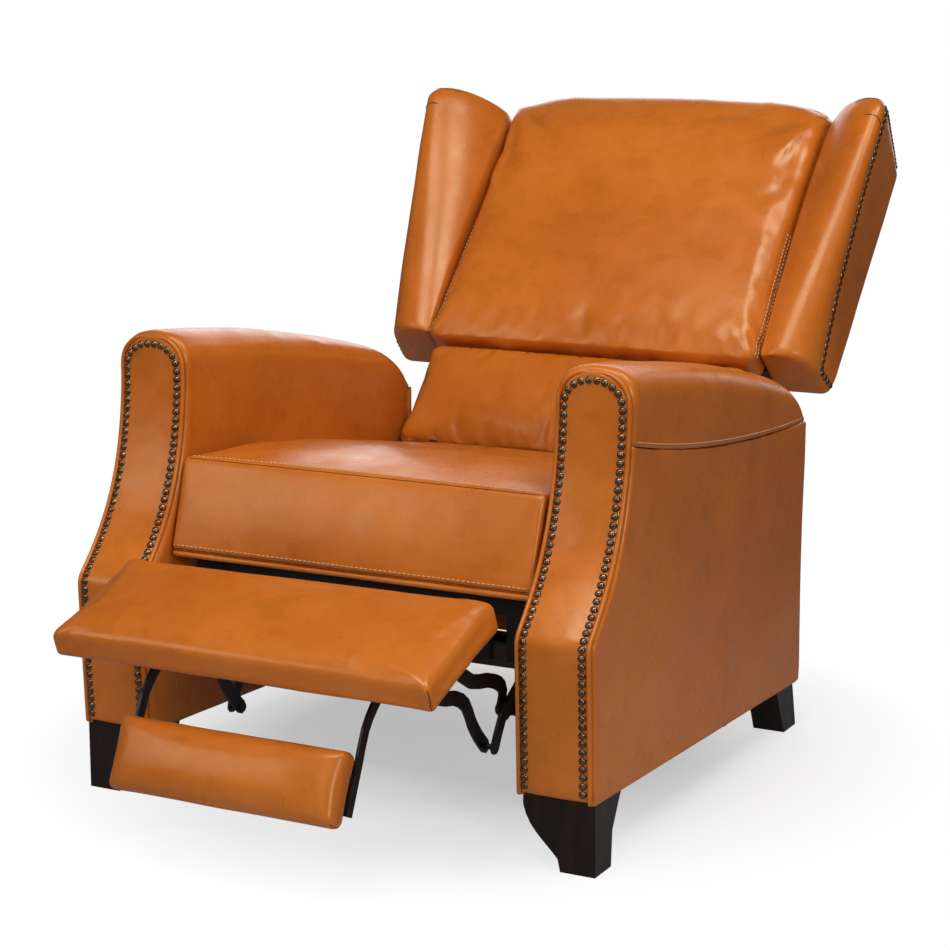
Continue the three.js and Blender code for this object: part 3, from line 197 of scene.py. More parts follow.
def slab(outer, inner):
    """A closed body between two grids of one size: the outer rows run on round the inner rows, and
    the first and last row are closed by a strip."""
    rows, columns = outer.shape[:2]
    ring = np.concatenate([outer, inner[:, ::-1]], 1)
    quads = faces_of(rows, 2 * columns, wrap=True)
    near = np.arange(columns - 1)
    far = 2 * columns - 1 - near
    start = joined(near, far, far - 1, near + 1)
    end = start[:, ::-1] + (rows - 1) * 2 * columns
    return ring.reshape(-1, 3), np.concatenate([quads, start, end])


def spaced(length, radius, step):
    """Places from 0 to a length: a quarter-circle spacing within a radius of both ends, even between."""
    fine = radius * (1 - np.cos(np.linspace(0, math.pi / 2, 6)[:-1]))
    middle = np.linspace(radius, length - radius, max(3, int((length - 2 * radius) / step) + 2))
    return np.concatenate([fine, middle, (length - fine)[::-1]])


def roll_down(distance, radius):
    """How far a face has fallen at a distance inside its edge, as a quarter circle."""
    return radius * (1 - np.sqrt(1 - (1 - clamped(distance / radius)) ** 2))


def edge_drop(places, length, radius):
    """How far a face has fallen at places along it, toward both ends of its length."""
    return roll_down(np.minimum(places, length - places), radius)


def box_grid(*places):
    """Points on the six faces of a box at the given places along x, y and z, shared at the edges, and
    their quads."""
    found, quads, base = [], [], 0
    for axis in range(3):
        first, second = [k for k in range(3) if k != axis]
        for end in (0, len(places[axis]) - 1):
            u, v = np.meshgrid(np.arange(len(places[first])), np.arange(len(places[second])), indexing="ij")
            index = np.zeros(u.shape + (3,), int)
            index[..., first], index[..., second], index[..., axis] = u, v, end
            sheet = faces_of(*u.shape)
            outward = (end > 0) != (axis == 1)
            quads.append((sheet[:, ::-1] if outward else sheet) + base)
            found.append(index.reshape(-1, 3))
            base += u.size
    unique, back = np.unique(np.concatenate(found), axis=0, return_inverse=True)
    points = np.stack([np.asarray(row)[unique[:, k]] for k, row in enumerate(places)], -1)
    return points, back.reshape(-1)[np.concatenate(quads)]


def rounded_box(width, depth, height, radius, step):
    """A box from (-width/2, 0, 0) whose edges are rolled: each point is pushed from the nearest point
    of the box shrunk by a radius, out to that radius."""
    corner = np.array([width / 2, 0, 0])
    size = np.array([width, depth, height])
    points, quads = box_grid(*(spaced(length, radius, step) - start for length, start in zip(size, corner)))
    core = np.clip(points, radius - corner, size - corner - radius)
    return core + unit(points - core) * radius, quads


def clouds(points, size, seed, stretch=(1, 1, 1)):
    """Smooth noise from -1 to 1: a random number at each corner of a lattice of cells, blended
    across the cell by a quintic curve."""
    p = np.asarray(points, float) / (size * np.array(stretch, float)) + 1000.0
    cell = np.floor(p).astype(np.int64)
    share = p - cell
    share = share ** 3 * (share * (share * 6 - 15) + 10)
    total = np.zeros(p.shape[:-1])
    for corner in itertools.product((0, 1), repeat=3):
        c = cell + corner
        code = (c @ (374761393, 668265263, 2147483629) + seed * 1274126177) & 0xFFFFFFFF
        code = ((code ^ (code >> 13)) * 1274126177) & 0xFFFFFFFF
        value = ((code ^ (code >> 16)) & 0xFFFF) / 32767.5 - 1
        total += value * np.prod(np.where(corner, share, 1 - share), -1)
    return total


def vertices(mesh):
    """The places of a mesh's points in metres, one row each."""
    points = np.zeros(len(mesh.vertices) * 3, np.float32)
    mesh.vertices.foreach_get("co", points)
    return points.reshape(-1, 3)


def place_vertices(mesh, points):
    mesh.vertices.foreach_set("co", points.astype(np.float32).ravel())
    mesh.update()


def relief(made, field):
    """Moves each point along its normal by field(points), in drawing millimetres."""
    points = vertices(made.data).astype(float)
    normals = np.zeros(points.size, np.float32)
    made.data.vertex_normals.foreach_get("vector", normals)
    place_vertices(made.data, points + normals.reshape(-1, 3) * (field(to_drawing(points)) * MM)[:, None])


def near_line(distance, width):
    """A bell that is 1 on a line and fades over a width."""
    return np.exp(-(distance / width) ** 2)


def turned(y, z, angle):
    c, s = math.cos(angle), math.sin(angle)
    return c * y - s * z, s * y + c * z


def carried(x, first, second, angle, origin=(0.0, 0.0)):
    """Points from a turned frame to the drawing."""
    y, z = turned(first, second, angle)
    return joined(x, y + origin[0], z + origin[1])


def from_seat(x, u, w):
    """Points of the seat, u rearward and w up, in the drawing."""
    return carried(x, u, w, -SEAT_TILT, SEAT_FOOT)


def from_back(x, n, t):
    """Points of the back, n rearward and t up, in the drawing."""
    return carried(x, n, t, -BACK_RECLINE)


def seat_place(p):
    """Places (u, w) in the seat of points of the drawing."""
    return turned(p[:, 1] - SEAT_FOOT[0], p[:, 2] - SEAT_FOOT[1], SEAT_TILT)


def back_place(p):
    """Places (n, t) in the back of points of the drawing."""
    return turned(p[:, 1], p[:, 2], BACK_RECLINE)


CLOTH = {"use_pressure": True, "quality": 5, "mass": 0.4, "bending_stiffness": 2.0,
         "tension_stiffness": 25, "compression_stiffness": 25, "shear_stiffness": 15,
         "uniform_pressure_force": 4.0}
CLOTH_FRAMES = 20


def sag(made, cap, hold, slack=0.0):
    """Swells a closed piece with Cloth pressure and no gravity, limits how far each point goes, and
    applies the result. Points are held where hold(points) is 1, and slack is the spare cloth."""
    before = vertices(made.data)
    cloth = made.modifiers.new("cloth", "CLOTH")
    settings = cloth.settings
    group = made.vertex_groups.new(name="held")
    weights = np.round(clamped(hold(to_drawing(before))), 1)
    for weight in np.unique(weights[weights > 0]):
        group.add(np.nonzero(weights == weight)[0].tolist(), float(weight), "REPLACE")
    settings.vertex_group_mass = "held"
    for key, value in CLOTH.items():
        setattr(settings, key, value)
    settings.effector_weights.gravity = 0
    settings.shrink_min = -slack
    scene = bpy.context.scene
    for number in range(1, CLOTH_FRAMES + 1):
        scene.frame_set(number)
    move = vertices(made.evaluated_get(bpy.context.evaluated_depsgraph_get()).data) - before
    made.modifiers.remove(cloth)
    made.vertex_groups.clear()
    length = np.linalg.norm(move, axis=1, keepdims=True)
    limit = cap * MM
    move *= limit * np.tanh(length / limit) / np.maximum(length, 1e-9)
    place_vertices(made.data, before + move)
    scene.frame_set(1)


def laid_on(made, path):
    """The nearest places on a piece's surface to each point of a path, and the normals there."""
    faces = [tuple(face.vertices) for face in made.data.polygons]
    tree = BVHTree.FromPolygons(vertices(made.data).tolist(), faces)
    found = [tree.find_nearest(Vector(place)) for place in to_metres(path)]
    normals = smoothed(np.array([place[1] for place in found]), 4)
    return to_drawing([place[0] for place in found]), unit(normals)


# Materials

def feed(tree, target, inputs):
    """Sets the inputs of a node, given by name or number, to values or to the outputs of others."""
    for key, value in inputs.items():
        if isinstance(value, bpy.types.NodeSocket):
            tree.links.new(value, target.inputs[key])
        else:
            target.inputs[key].default_value = value


def node(tree, kind, inputs=None, **settings):
    made = tree.nodes.new(kind)
    for key, value in settings.items():
        setattr(made, key, value)
    feed(tree, made, inputs or {})
    return made


def new_material(name):
    """A material with its node tree, its shader, and the Object coordinates that patterns lie on."""
    made = bpy.data.materials.new(name)
    made.use_nodes = True
    tree = made.node_tree
    shader = next(n for n in tree.nodes if n.type == "BSDF_PRINCIPLED")
    return made, tree, shader, node(tree, "ShaderNodeTexCoord").outputs["Object"]


def noise(tree, place, scale, detail, roughness=0.5, distortion=0.0):
    inputs = {"Vector": place, "Scale": scale, "Detail": detail, "Roughness": roughness,
              "Distortion": distortion}
    return node(tree, "ShaderNodeTexNoise", inputs).outputs["Fac"]


def waves(tree, place, scale, distortion, direction):
    inputs = {"Vector": place, "Scale": scale, "Distortion": distortion}
    return node(tree, "ShaderNodeTexWave", inputs, bands_direction=direction).outputs["Fac"]


def stretched(tree, place, scales):
    return node(tree, "ShaderNodeMapping", {"Vector": place, "Scale": scales}).outputs["Vector"]


def bump(tree, height, strength, distance, **base):
    inputs = {"Height": height, "Strength": strength, "Distance": distance}
    return node(tree, "ShaderNodeBump", inputs | base).outputs["Normal"]


def ramp(tree, factor, *stops):
    """A colour ramp through (place, grey or colour) stops."""
    made = node(tree, "ShaderNodeValToRGB", {"Fac": factor})
    elements = made.color_ramp.elements
    while len(elements) < len(stops):
        elements.new(0.5)
    for element, (place, colour) in zip(elements, stops):
        element.position = place
        element.color = (*colour, 1.0) if hasattr(colour, "__len__") else (colour, colour, colour, 1.0)
    return made.outputs["Color"]


def between(tree, value, low, high, start=0.0, end=1.0):
    """A value carried from start..end to low..high."""
    inputs = {"Value": value, "From Min": start, "From Max": end, "To Min": low, "To Max": high}
    return node(tree, "ShaderNodeMapRange", inputs).outputs[0]


def maths(tree, operation, first, second):
    return node(tree, "ShaderNodeMath", {0: first, 1: second}, operation=operation).outputs[0]


def leather(name, light=1.0):
    """Aniline leather: drifting cognac tones, soft mottling, painted shade in its creases and hollows, an
    uneven golden polish. A light below 1 gives a copy painted as in shade.
    """
    made, tree, shader, place = new_material(name)
    tones = ((0.3, (0.440, 0.105, 0.0095)), (0.5, (0.520, 0.132, 0.0125)), (0.7, (0.585, 0.160, 0.0185)))
    tone = ramp(tree, noise(tree, place, 3.2, 3.0, 0.55),
                *((stop, tuple(light * v for v in colour)) for stop, colour in tones))
    blotch = noise(tree, place, 22.0, 3.0)
    mottle = noise(tree, place, 60.0, 2.0)
    # Pointiness: where the surface is hollow, in creases and seam grooves, the tone is darkened as painted
    # shade
    crease_shade = node(tree, "ShaderNodeNewGeometry").outputs["Pointiness"]
    for shade in (ramp(tree, blotch, (0.32, 0.93), (0.5, 0.99), (0.68, 1.0)),
                  ramp(tree, mottle, (0.36, 0.96), (0.5, 1.0), (0.66, 1.02)),
                  ramp(tree, crease_shade, (0.46, 0.78), (0.5, 1.0), (0.56, 1.0))):
        product = node(tree, "ShaderNodeMix", {0: 1.0, 6: tone, 7: shade}, data_type="RGBA",
                       blend_type="MULTIPLY")
        tone = product.outputs[2]
    cells = node(tree, "ShaderNodeTexVoronoi", {"Vector": place, "Scale": 620.0}, feature="F1")
    pores = cells.outputs["Distance"]
    soft = bump(tree, noise(tree, place, 110.0, 2.0), 0.08, 0.002)
    feed(tree, shader, {"Base Color": tone, "Roughness": ramp(tree, blotch, (0.3, 0.24), (0.7, 0.36)),
                        "Normal": bump(tree, pores, 0.08, 0.0006, Normal=soft),
                        "Specular IOR Level": 0.54, "Specular Tint": (1.0, 0.88, 0.60, 1.0)})
    return made


def grained_wood(name, stretch, distortion, tones, polish, depth, **finish):
    """Wood with its figure drawn out along the grain."""
    made, tree, shader, place = new_material(name)
    grain = noise(tree, stretched(tree, place, stretch), 1.0, 6.0, distortion=distortion)
    feed(tree, shader, {"Base Color": ramp(tree, grain, *tones), "Normal": bump(tree, grain, depth, 0.001),
                        "Roughness": ramp(tree, grain, (0.3, polish[0]), (0.7, polish[1]))} | finish)
    return made


def painted_steel(name, low, high, roughness, metallic):
    """Pressed steel: a thin uneven coat with rubbed edges and a little orange peel."""
    made, tree, shader, place = new_material(name)
    patch = noise(tree, place, 45.0, 5.0)
    feed(tree, shader, {"Base Color": ramp(tree, patch, (0.35, low), (0.65, high)), "Metallic": metallic,
                        "Roughness": ramp(tree, patch, (0.3, roughness - 0.06), (0.7, roughness + 0.08)),
                        "Normal": bump(tree, noise(tree, place, 700.0, 2.0), 0.08, 0.0005)})
    return made


def black_cloth():
    """Thin woven dust cloth: crossed threads a millimetre apart."""
    made, tree, shader, place = new_material("black cloth")
    weave = maths(tree, "MULTIPLY", *(waves(tree, place, 300.0, 0.4, way) for way in ("X", "DIAGONAL")))
    tone = ramp(tree, weave, (0.1, (0.006, 0.006, 0.0065)), (0.8, (0.022, 0.022, 0.023)))
    feed(tree, shader, {"Base Color": tone, "Normal": bump(tree, weave, 0.3, 0.0004),
                        "Roughness": 0.9, "Sheen Weight": 0.15})
    return made


def aged_bronze():
    """Antique nail heads: dark in the hollows, rubbed to brown brass on the dome."""
    made, tree, shader, place = new_material("aged bronze")
    patch = noise(tree, place, 260.0, 4.0)
    tone = ramp(tree, patch, (0.35, (0.085, 0.052, 0.032)), (0.55, (0.18, 0.115, 0.070)),
                (0.72, (0.32, 0.215, 0.135)))
    feed(tree, shader, {"Base Color": tone, "Metallic": 0.85,
                        "Roughness": ramp(tree, patch, (0.3, 0.30), (0.7, 0.20))})
    return made


def thread():
    """Waxed topstitching thread, twisted."""
    made, tree, shader, place = new_material("topstitch thread")
    twist = waves(tree, place, 500.0, 1.0, "DIAGONAL")
    feed(tree, shader, {"Base Color": ramp(tree, twist, (0.2, (0.50, 0.30, 0.14)), (0.8, (0.72, 0.50, 0.28))),
                        "Normal": bump(tree, twist, 0.3, 0.0003), "Roughness": 0.6})
    return made


COGNAC = leather("cognac leather")
THREAD = thread()
# Painted shade for the creases of seams: the leather at a tenth of its brightness, laid on as thin dark cords
SEAM_SHADE = leather("seam crease shade", 0.10)
BRONZE = aged_bronze()
NODE_FINISHES = {
    "espresso_wood": grained_wood(
        "espresso wood", (60.0, 60.0, 7.0), 0.6,
        ((0.3, (0.006, 0.0030, 0.0022)), (0.55, (0.014, 0.0058, 0.0036)), (0.75, (0.024, 0.0092, 0.005))),
        (0.38, 0.30), 0.12, **{"Specular IOR Level": 0.3, "Coat Weight": 0.06, "Coat Roughness": 0.25}),
    # The frame wood is given a dark brown tone, much darker than bare plywood
    "frame_wood": grained_wood(
        "frame wood", (6.0, 40.0, 40.0), 0.8,
        ((0.3, (0.045, 0.028, 0.016)), (0.5, (0.075, 0.048, 0.027)), (0.7, (0.10, 0.066, 0.04))),
        (0.75, 0.62), 0.15),
    "black_steel": painted_steel("black steel", (0.008, 0.008, 0.009), (0.022, 0.022, 0.024), 0.38, 0.35),
    "spring_steel": painted_steel("spring steel", (0.16, 0.16, 0.165), (0.30, 0.30, 0.31), 0.34, 0.95),
    "black_cloth": black_cloth(),
    "cognac_leather": COGNAC,
}


# Arms

def front_curve():
    """The side view of the arm front: straight from the foot to a kink, one cubic curve up to the
    upright, then straight to the arch. Returns dense (y, z) points."""
    foot, kink, upright = np.array([3.0, 102.0]), np.array([-6.0, 312.0]), np.array([ARM_FRONT_Y, 580.0])
    low_pull, high_pull = np.array([55.0, 372.0]), np.array([104.0, 440.0])
    s = np.linspace(0, 1, 60)[:, None]
    straight = foot + (kink - foot) * s
    curve = cubic(s, kink, low_pull, high_pull, upright)
    top = upright + (np.array([ARM_FRONT_Y, 642.0]) - upright) * s
    line = np.concatenate([straight, curve[1:], top[1:]])
    # The kink is eased over a few millimetres, as leather over a padded edge is
    return smoothed(line, 6)


FRONT_LINE = front_curve()
FRONT_RUN = run_along(FRONT_LINE)
PANEL_SPRING = FRONT_RUN[-1] - ARCH_RISE


def front_y(z):
    return np.interp(z, FRONT_LINE[:, 1], FRONT_LINE[:, 0])


def front_at(run):
    """Place and outward normal on the front curve at a run up it from the foot."""
    y, z = np.moveaxis(at_run(run, FRONT_RUN, FRONT_LINE), -1, 0)
    ahead, behind = np.clip(run + 2, 0, FRONT_RUN[-1]), np.clip(run - 2, 0, FRONT_RUN[-1])
    rise = unit(at_run(ahead, FRONT_RUN, FRONT_LINE) - at_run(behind, FRONT_RUN, FRONT_LINE))
    return y, z, -rise[..., 1], rise[..., 0]


def arm_bottom(y):
    """Height of the arm's lower edge, which falls from the front panel to the rear."""
    return 102 - 30 * clamped((y - 3) / (ARM_REAR_Y - 3))


def arm_end(y):
    """Share of the way through an arm's rounded rear end, and how far a quarter ellipse has fallen."""
    end = clamped((y - ARM_REAR_Y + ARM_END_RUN) / ARM_END_RUN)
    return end, 1 - np.sqrt(1 - end ** 2)


def arm_top(y):
    """Height of the crest of the arm: a slight droop rearward and a quarter-ellipse end."""
    run = np.maximum(0, y - ARM_CREST_Y)
    droop = 61 * (run / (ARM_REAR_Y - ARM_CREST_Y)) ** 2
    return ARM_TOP_Z - 0.0886 * run - droop - 58 * arm_end(y)[1]


def seam_height(y):
    """The topstitched seam on the outside of the arm: one quadratic curve, whose share of the way
    is found from the run rearward in a few steps."""
    start_y, pull_y = 105, 70
    front_z, pull_z, rear_z = 552, 487, 481
    run = ARM_REAR_Y - start_y
    place = clamped((y - start_y) / run)
    share = place
    for _ in range(3):
        share = place + pull_y / run * share * (1 - share)
    return (1 - share) ** 2 * front_z + 2 * share * (1 - share) * pull_z + share ** 2 * rear_z


def arch(angle, power):
    """A unit super-elliptic arch, as its places across and up."""
    return np.sign(np.cos(angle)) * np.abs(np.cos(angle)) ** power, np.sin(angle) ** power


def panel_line(half, start, rise, power, steps, side_steps):
    """A line (x from the panel's middle, run up the curve) up one side of the front panel, over its
    arch and down the other side."""
    over, up = arch(np.linspace(0, math.pi, steps), power)
    side = np.linspace(start, PANEL_SPRING, side_steps)[:-1]
    return np.concatenate([joined(half, side),
                           joined(half * over, PANEL_SPRING + rise * up),
                           joined(-half, side[::-1])])


def panel_half(run):
    """Half width of the front panel at a run up the curve."""
    rise, power = clamped((run - PANEL_SPRING) / ARCH_RISE), 0.43
    return PANEL_HALF * (1 - rise ** (1 / power)) ** power


def on_front(x, run, lift):
    """Points on the front curve, lifted off it."""
    y, z, ny, nz = front_at(run)
    return joined(ARM_MIDDLE_X + x, y + ny * lift, z + nz * lift)


def arm_front_panel(side_name, side):
    """A padded strip that follows the front curve: each row runs across between the panel's edges,
    with rolled borders and a slight crown."""
    turn = np.linspace(0, math.pi / 2, 22)
    runs = np.concatenate([spaced(PANEL_SPRING, 5, 6)[:-6], PANEL_SPRING + ARCH_RISE * np.sin(turn)])
    runs[-1] -= 0.05
    half = np.maximum(panel_half(runs), 1.5)[:, None]
    x = half * np.sin(np.linspace(-math.pi / 2, math.pi / 2, 31))
    run = np.broadcast_to(runs[:, None], x.shape)
    drop = roll_down(np.minimum(half - np.abs(x), run), 6)
    crown = 2.2 * clamped(1 - (x / PANEL_HALF) ** 2)
    points, quads = slab(on_front(x, run, crown - drop), on_front(x, run, -8.0 + 0 * x))
    made = piece(f"arm_front_cover_{side_name}", mirrored(points, side), quads, "base", COGNAC)
    relief(made, lambda p: 0.5 * clouds(p, 60, 5) + 0.3 * clouds(p, 18, 6))
    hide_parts(f"arm_front_panel_{side_name}")


def smooth_tube(path, radius, sides=10):
    """A round cord along a path, with rounded ends: the ring is carried along by the least turn."""
    along = unit(np.gradient(path, axis=0))
    across = np.zeros_like(along)
    across[0] = unit(np.cross(along[0], (0.0, 0.0, 1.0) if abs(along[0][2]) < 0.9 else (0.0, 1.0, 0.0)))
    for k in range(1, len(path)):
        across[k] = unit(across[k - 1] - along[k] * (across[k - 1] @ along[k]))
    other = np.cross(along, across)
    angle = np.linspace(0, 2 * math.pi, sides, endpoint=False)[:, None]
    ring = radius * (across[:, None] * np.cos(angle) + other[:, None] * np.sin(angle))
    start, end = ([path[row] + ring[row] * width + along[row] * sign * radius * reach
                   for width, reach in ((0.02, 1.0), (0.6, 0.7))] for row, sign in ((0, -1), (-1, 1)))
    rings = np.array([*start, *(path[:, None] + ring), *end[::-1]])
    return rings.reshape(-1, 3), closed_tube(len(rings), sides)


def arm_welt(side_name, side):
    """The cord sewn round the front panel, up both edges and over the arch."""
    line = panel_line(PANEL_HALF, 0, ARCH_RISE, 0.86, 33, 70)
    run = run_along(line)
    x, up = at_run(np.linspace(0, run[-1], 220), run, line).T
    path = on_front(x * 1.035, up + np.where(up > PANEL_SPRING, 1.8, 0), -1.5)
    points, quads = smooth_tube(path, 3.3)
    piece(f"arm_welt_{side_name}", mirrored(points, side), quads, "base", COGNAC)


def arm_cover(side_name, side):
    """The leather over the arm: each section rises from the outer seam, goes over a super-elliptic
    crest and falls down the inner side to the bottom. It is drawn from the front curve to the rear."""
    share = np.concatenate([[0, 0.002, 0.006, 0.012], np.linspace(0.022, 0.86, 70),
                            0.86 + 0.14 * np.sin(np.linspace(0, math.pi / 2, 16))[1:]])
    rise = np.linspace(0, 1, 10)[:-1]
    over, up = arch(np.linspace(0, math.pi, 41), 0.82)
    fall = np.linspace(0, 1, 46)[1:]
    start_y = ARM_FRONT_Y + COVER_SETBACK

    def sections(depth):
        """The sections, moved in from the surface by a depth."""
        rows = []
        for s in share:
            y_top = start_y + (ARM_REAR_Y - start_y) * s
            end, end_fall = arm_end(y_top)
            front_roll = 5.0 * (1 - min(1.0, s / 0.012)) ** 2
            half = (ARM_OUTER_X - ARM_INNER_X) / 2 - (ARM_END_TUCK * end_fall + front_roll + depth)
            top = arm_top(y_top) - front_roll - depth
            seam_shade = seam_height(y_top) + 0.8
            spring = max(seam_shade + 0.5, min(top - 2, top - 50 * (1 - 0.6 * end)))
            z = np.concatenate([seam_shade + (spring - seam_shade) * rise, spring + (top - spring) * up,
                                spring + (arm_bottom(y_top) + 1 - spring) * fall])
            x = half * np.concatenate([np.ones_like(rise), over, -np.ones_like(fall)]) + ARM_MIDDLE_X
            y_front = front_y(np.minimum(z, 600)) + COVER_SETBACK
            rows.append(joined(x, y_front + (ARM_REAR_Y - y_front) * s, z))
        return np.array(rows)

    points, quads = slab(sections(0.0), sections(COVER_THICKNESS))
    made = piece(f"arm_cover_{side_name}", mirrored(points, side), quads, "base", COGNAC)

    def folds(p):
        inner_side = clamped((ARM_MIDDLE_X - np.abs(p[:, 0])) / 40)
        above = clamped((p[:, 2] - 520) / 60)
        soft = 1.6 * clouds(p, 170, 11) * above + 0.8 * clouds(p, 70, 12) * above
        pull = 1.2 * clouds(p, 60, 13, (1, 1, 2.6)) * inner_side
        return soft + pull
    relief(made, folds)
    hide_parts(f"arm_pad_{side_name}", f"arm_inner_panel_{side_name}")


def arm_side_cover(side_name, side):
    """The outer side of the arm, drawn from the front curve to the rear and on round the corner over
    the back of the arm: columns run up from the bottom edge to the seam."""
    corner = 12.0
    straight = np.concatenate([[0, 0.003, 0.008, 0.016], np.linspace(0.03, 1, 90)])
    bend = np.linspace(0, math.pi / 2, 8)[1:]
    across = np.linspace(ARM_OUTER_X - corner, ARM_INNER_X + 1, 16)[1:]
    up = spaced(1.0, 0.012, 0.022)

    def column(y, foot_lift=0.0):
        """Heights up a column, and how far its rolled top and bottom edges fall."""
        bottom, top = arm_bottom(y) + foot_lift, seam_height(y) - 0.8
        edge = roll_down(np.minimum(up, 1 - up) * (top - bottom), 4)
        return bottom + (top - bottom) * up, edge

    def sheet(depth):
        columns = []
        for s in straight:
            z, edge = column(ARM_FRONT_Y + (ARM_REAR_Y - corner - ARM_FRONT_Y) * s)
            y_front = front_y(np.minimum(z, 560)) + COVER_SETBACK
            y = y_front + (ARM_REAR_Y - corner - y_front) * s
            z = z + roll_down(ARM_REAR_Y - y, FOOT_CURVE) * (1 - up)
            edge = np.maximum(edge, roll_down(y - y_front, 5))
            columns.append(joined(ARM_OUTER_X - edge - depth, y, z))
        z, edge = column(ARM_REAR_Y, FOOT_CURVE)
        for turn in bend:
            r = corner - edge - depth
            columns.append(joined(ARM_OUTER_X - corner + r * math.cos(turn),
                                  ARM_REAR_Y - corner + r * math.sin(turn), z))
        for x in across:
            columns.append(joined(x, ARM_REAR_Y - edge - depth, z))
        return np.array(columns)

    points, quads = slab(sheet(0.0), sheet(COVER_THICKNESS))
    made = piece(f"arm_side_cover_{side_name}", mirrored(points, side), quads, "base", COGNAC)

    def folds(p):
        joint_y = 444 + (p[:, 2] - 125) / (492 - 125) * 10
        on_side = np.abs(p[:, 0]) > ARM_OUTER_X - 4
        groove = -1.3 * near_line(p[:, 1] - joint_y, 2.6) * on_side
        puff = 0.9 * near_line(p[:, 1] - joint_y - 9, 9) * on_side
        drape = 1.5 * clouds(p, 150, 21) + 0.6 * clouds(p, 55, 22, (1, 1, 2.2))
        return groove + puff + drape * clamped((p[:, 2] - 90) / 60)
    relief(made, folds)
    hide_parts(f"arm_outer_panel_{side_name}")


NAIL_PITCH = 11.4


def nail_heads(name, places, normals, body):
    """Domed nail heads: one small dome of rings, repeated at each place and turned to its normal."""
    radius = np.array([5.5, 5.5, 5.0, 3.6, 1.9, 0.05])[:, None]
    height = np.array([-0.6, 0.3, 1.5, 2.9, 3.6, 3.8])[:, None]
    angle = np.linspace(0, 2 * math.pi, 10, endpoint=False)
    dome = joined(radius * np.cos(angle), radius * np.sin(angle), height)
    up = unit(normals)
    first = unit(np.cross(up, np.where(np.abs(up[:, :1]) > 0.8, (0.0, 0.0, 1.0), (1.0, 0.0, 0.0))))
    piece(name, *repeated(dome, places, first, np.cross(up, first), up), body, BRONZE, "black_steel")


def arm_nails(side_name, side):
    """A row of nail heads just inside the welt, up one edge, over the arch and down the other."""
    line = panel_line(41.5, 6, 36.5, 0.9, 60, 120)
    x, run = at_run(*evenly(line, NAIL_PITCH), line).T
    _, _, ny, nz = front_at(run)
    points = on_front(x, run, 1.6 * (1 - (x / PANEL_HALF) ** 2) - 0.2)
    normals = joined(0.05 * np.sign(x), ny, nz)
    nail_heads(f"arm_nails_{side_name}", mirrored(points, side), mirrored(normals, side), "base")


STITCH_LENGTH, STITCH_GAP, STITCH_RADIUS = 5.2, 2.2, 0.75


def stitches(name, path, normals, body):
    """A row of topstitches: one short thread with rounded ends, repeated along a path on a surface."""
    middle, run = evenly(path, STITCH_LENGTH + STITCH_GAP)
    along = unit(at_run(middle + 1, run, path) - at_run(middle - 1, run, path))
    up = at_run(middle, run, normals)
    up = unit(up - along * np.einsum("ij,ij->i", up, along)[:, None])
    place = np.array([-0.5, -0.42, -0.2, 0.2, 0.42, 0.5])[:, None]
    width = np.array([0.25, 0.85, 1.0, 1.0, 0.85, 0.25])[:, None]
    angle = np.linspace(0, 2 * math.pi, 6, endpoint=False)
    arc = 0.5 * (1 - (2 * place) ** 2)
    shape = joined(place * STITCH_LENGTH, STITCH_RADIUS * width * np.cos(angle),
                   STITCH_RADIUS * width * np.sin(angle) + arc)
    copies = repeated(shape, at_run(middle, run, path), along, np.cross(along, up), up)
    piece(name, *copies, body, THREAD)


def seam_shade_line(name, path, normals, body, radius=0.7):
    """Painted shade in the crease of a seam: a thin dark cord half sunk along a path on a surface."""
    piece(name, *smooth_tube(path - 0.25 * radius * normals, radius, 6), body, SEAM_SHADE)


def arm_seam_stitches(side_name, side):
    """Topstitching just above the outer seam of the arm."""
    y = np.linspace(122, ARM_REAR_Y - 30, 80)
    path = joined(ARM_OUTER_X + 0.6 - ARM_END_TUCK * arm_end(y)[1], y, seam_height(y) + 6.5)
    normals = np.tile([side, 0.0, 0.0], (len(y), 1))
    stitches(f"arm_topstitch_{side_name}", mirrored(path, side), normals, "base")


for side_name, side in SIDES.items():
    arm_front_panel(side_name, side)
    arm_welt(side_name, side)
    arm_cover(side_name, side)
    arm_side_cover(side_name, side)
    arm_nails(side_name, side)
    arm_seam_stitches(side_name, side)


def rear_base_cover():
    """The low leather panel across the back between the arms."""
    width, height, foot, thickness = 571.0, 123.0, 92, 19.0
    across, up = np.meshgrid(spaced(width, 5, 12), spaced(height, 6, 8), indexing="ij")
    drop = np.maximum(edge_drop(across, width, 4), edge_drop(up, height, 6))
    outer = joined(across - width / 2, ARM_REAR_Y - drop, foot + up)
    inner = joined(across - width / 2, ARM_REAR_Y - thickness, foot + up)
    made = piece("rear_base_cover", *slab(outer, inner), "base", COGNAC)
    relief(made, lambda p: 1.0 * clouds(p, 120, 31) + 0.4 * clouds(p, 40, 32))
    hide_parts("rear_base_panel")


rear_base_cover()


# Seat

SEAT_WIDTH, SEAT_DEPTH, SEAT_FRONT_RISE, SEAT_CLIMB = 567.0, 612.0, 126.5, 24.0
SEAT_LEAN = 16.0


def seat_crest(u):
    """Height of the seat's face in its own frame: a quarter sine up from the front edge."""
    return SEAT_FRONT_RISE + SEAT_CLIMB * np.sin(clamped(u / 215) * math.pi / 2)


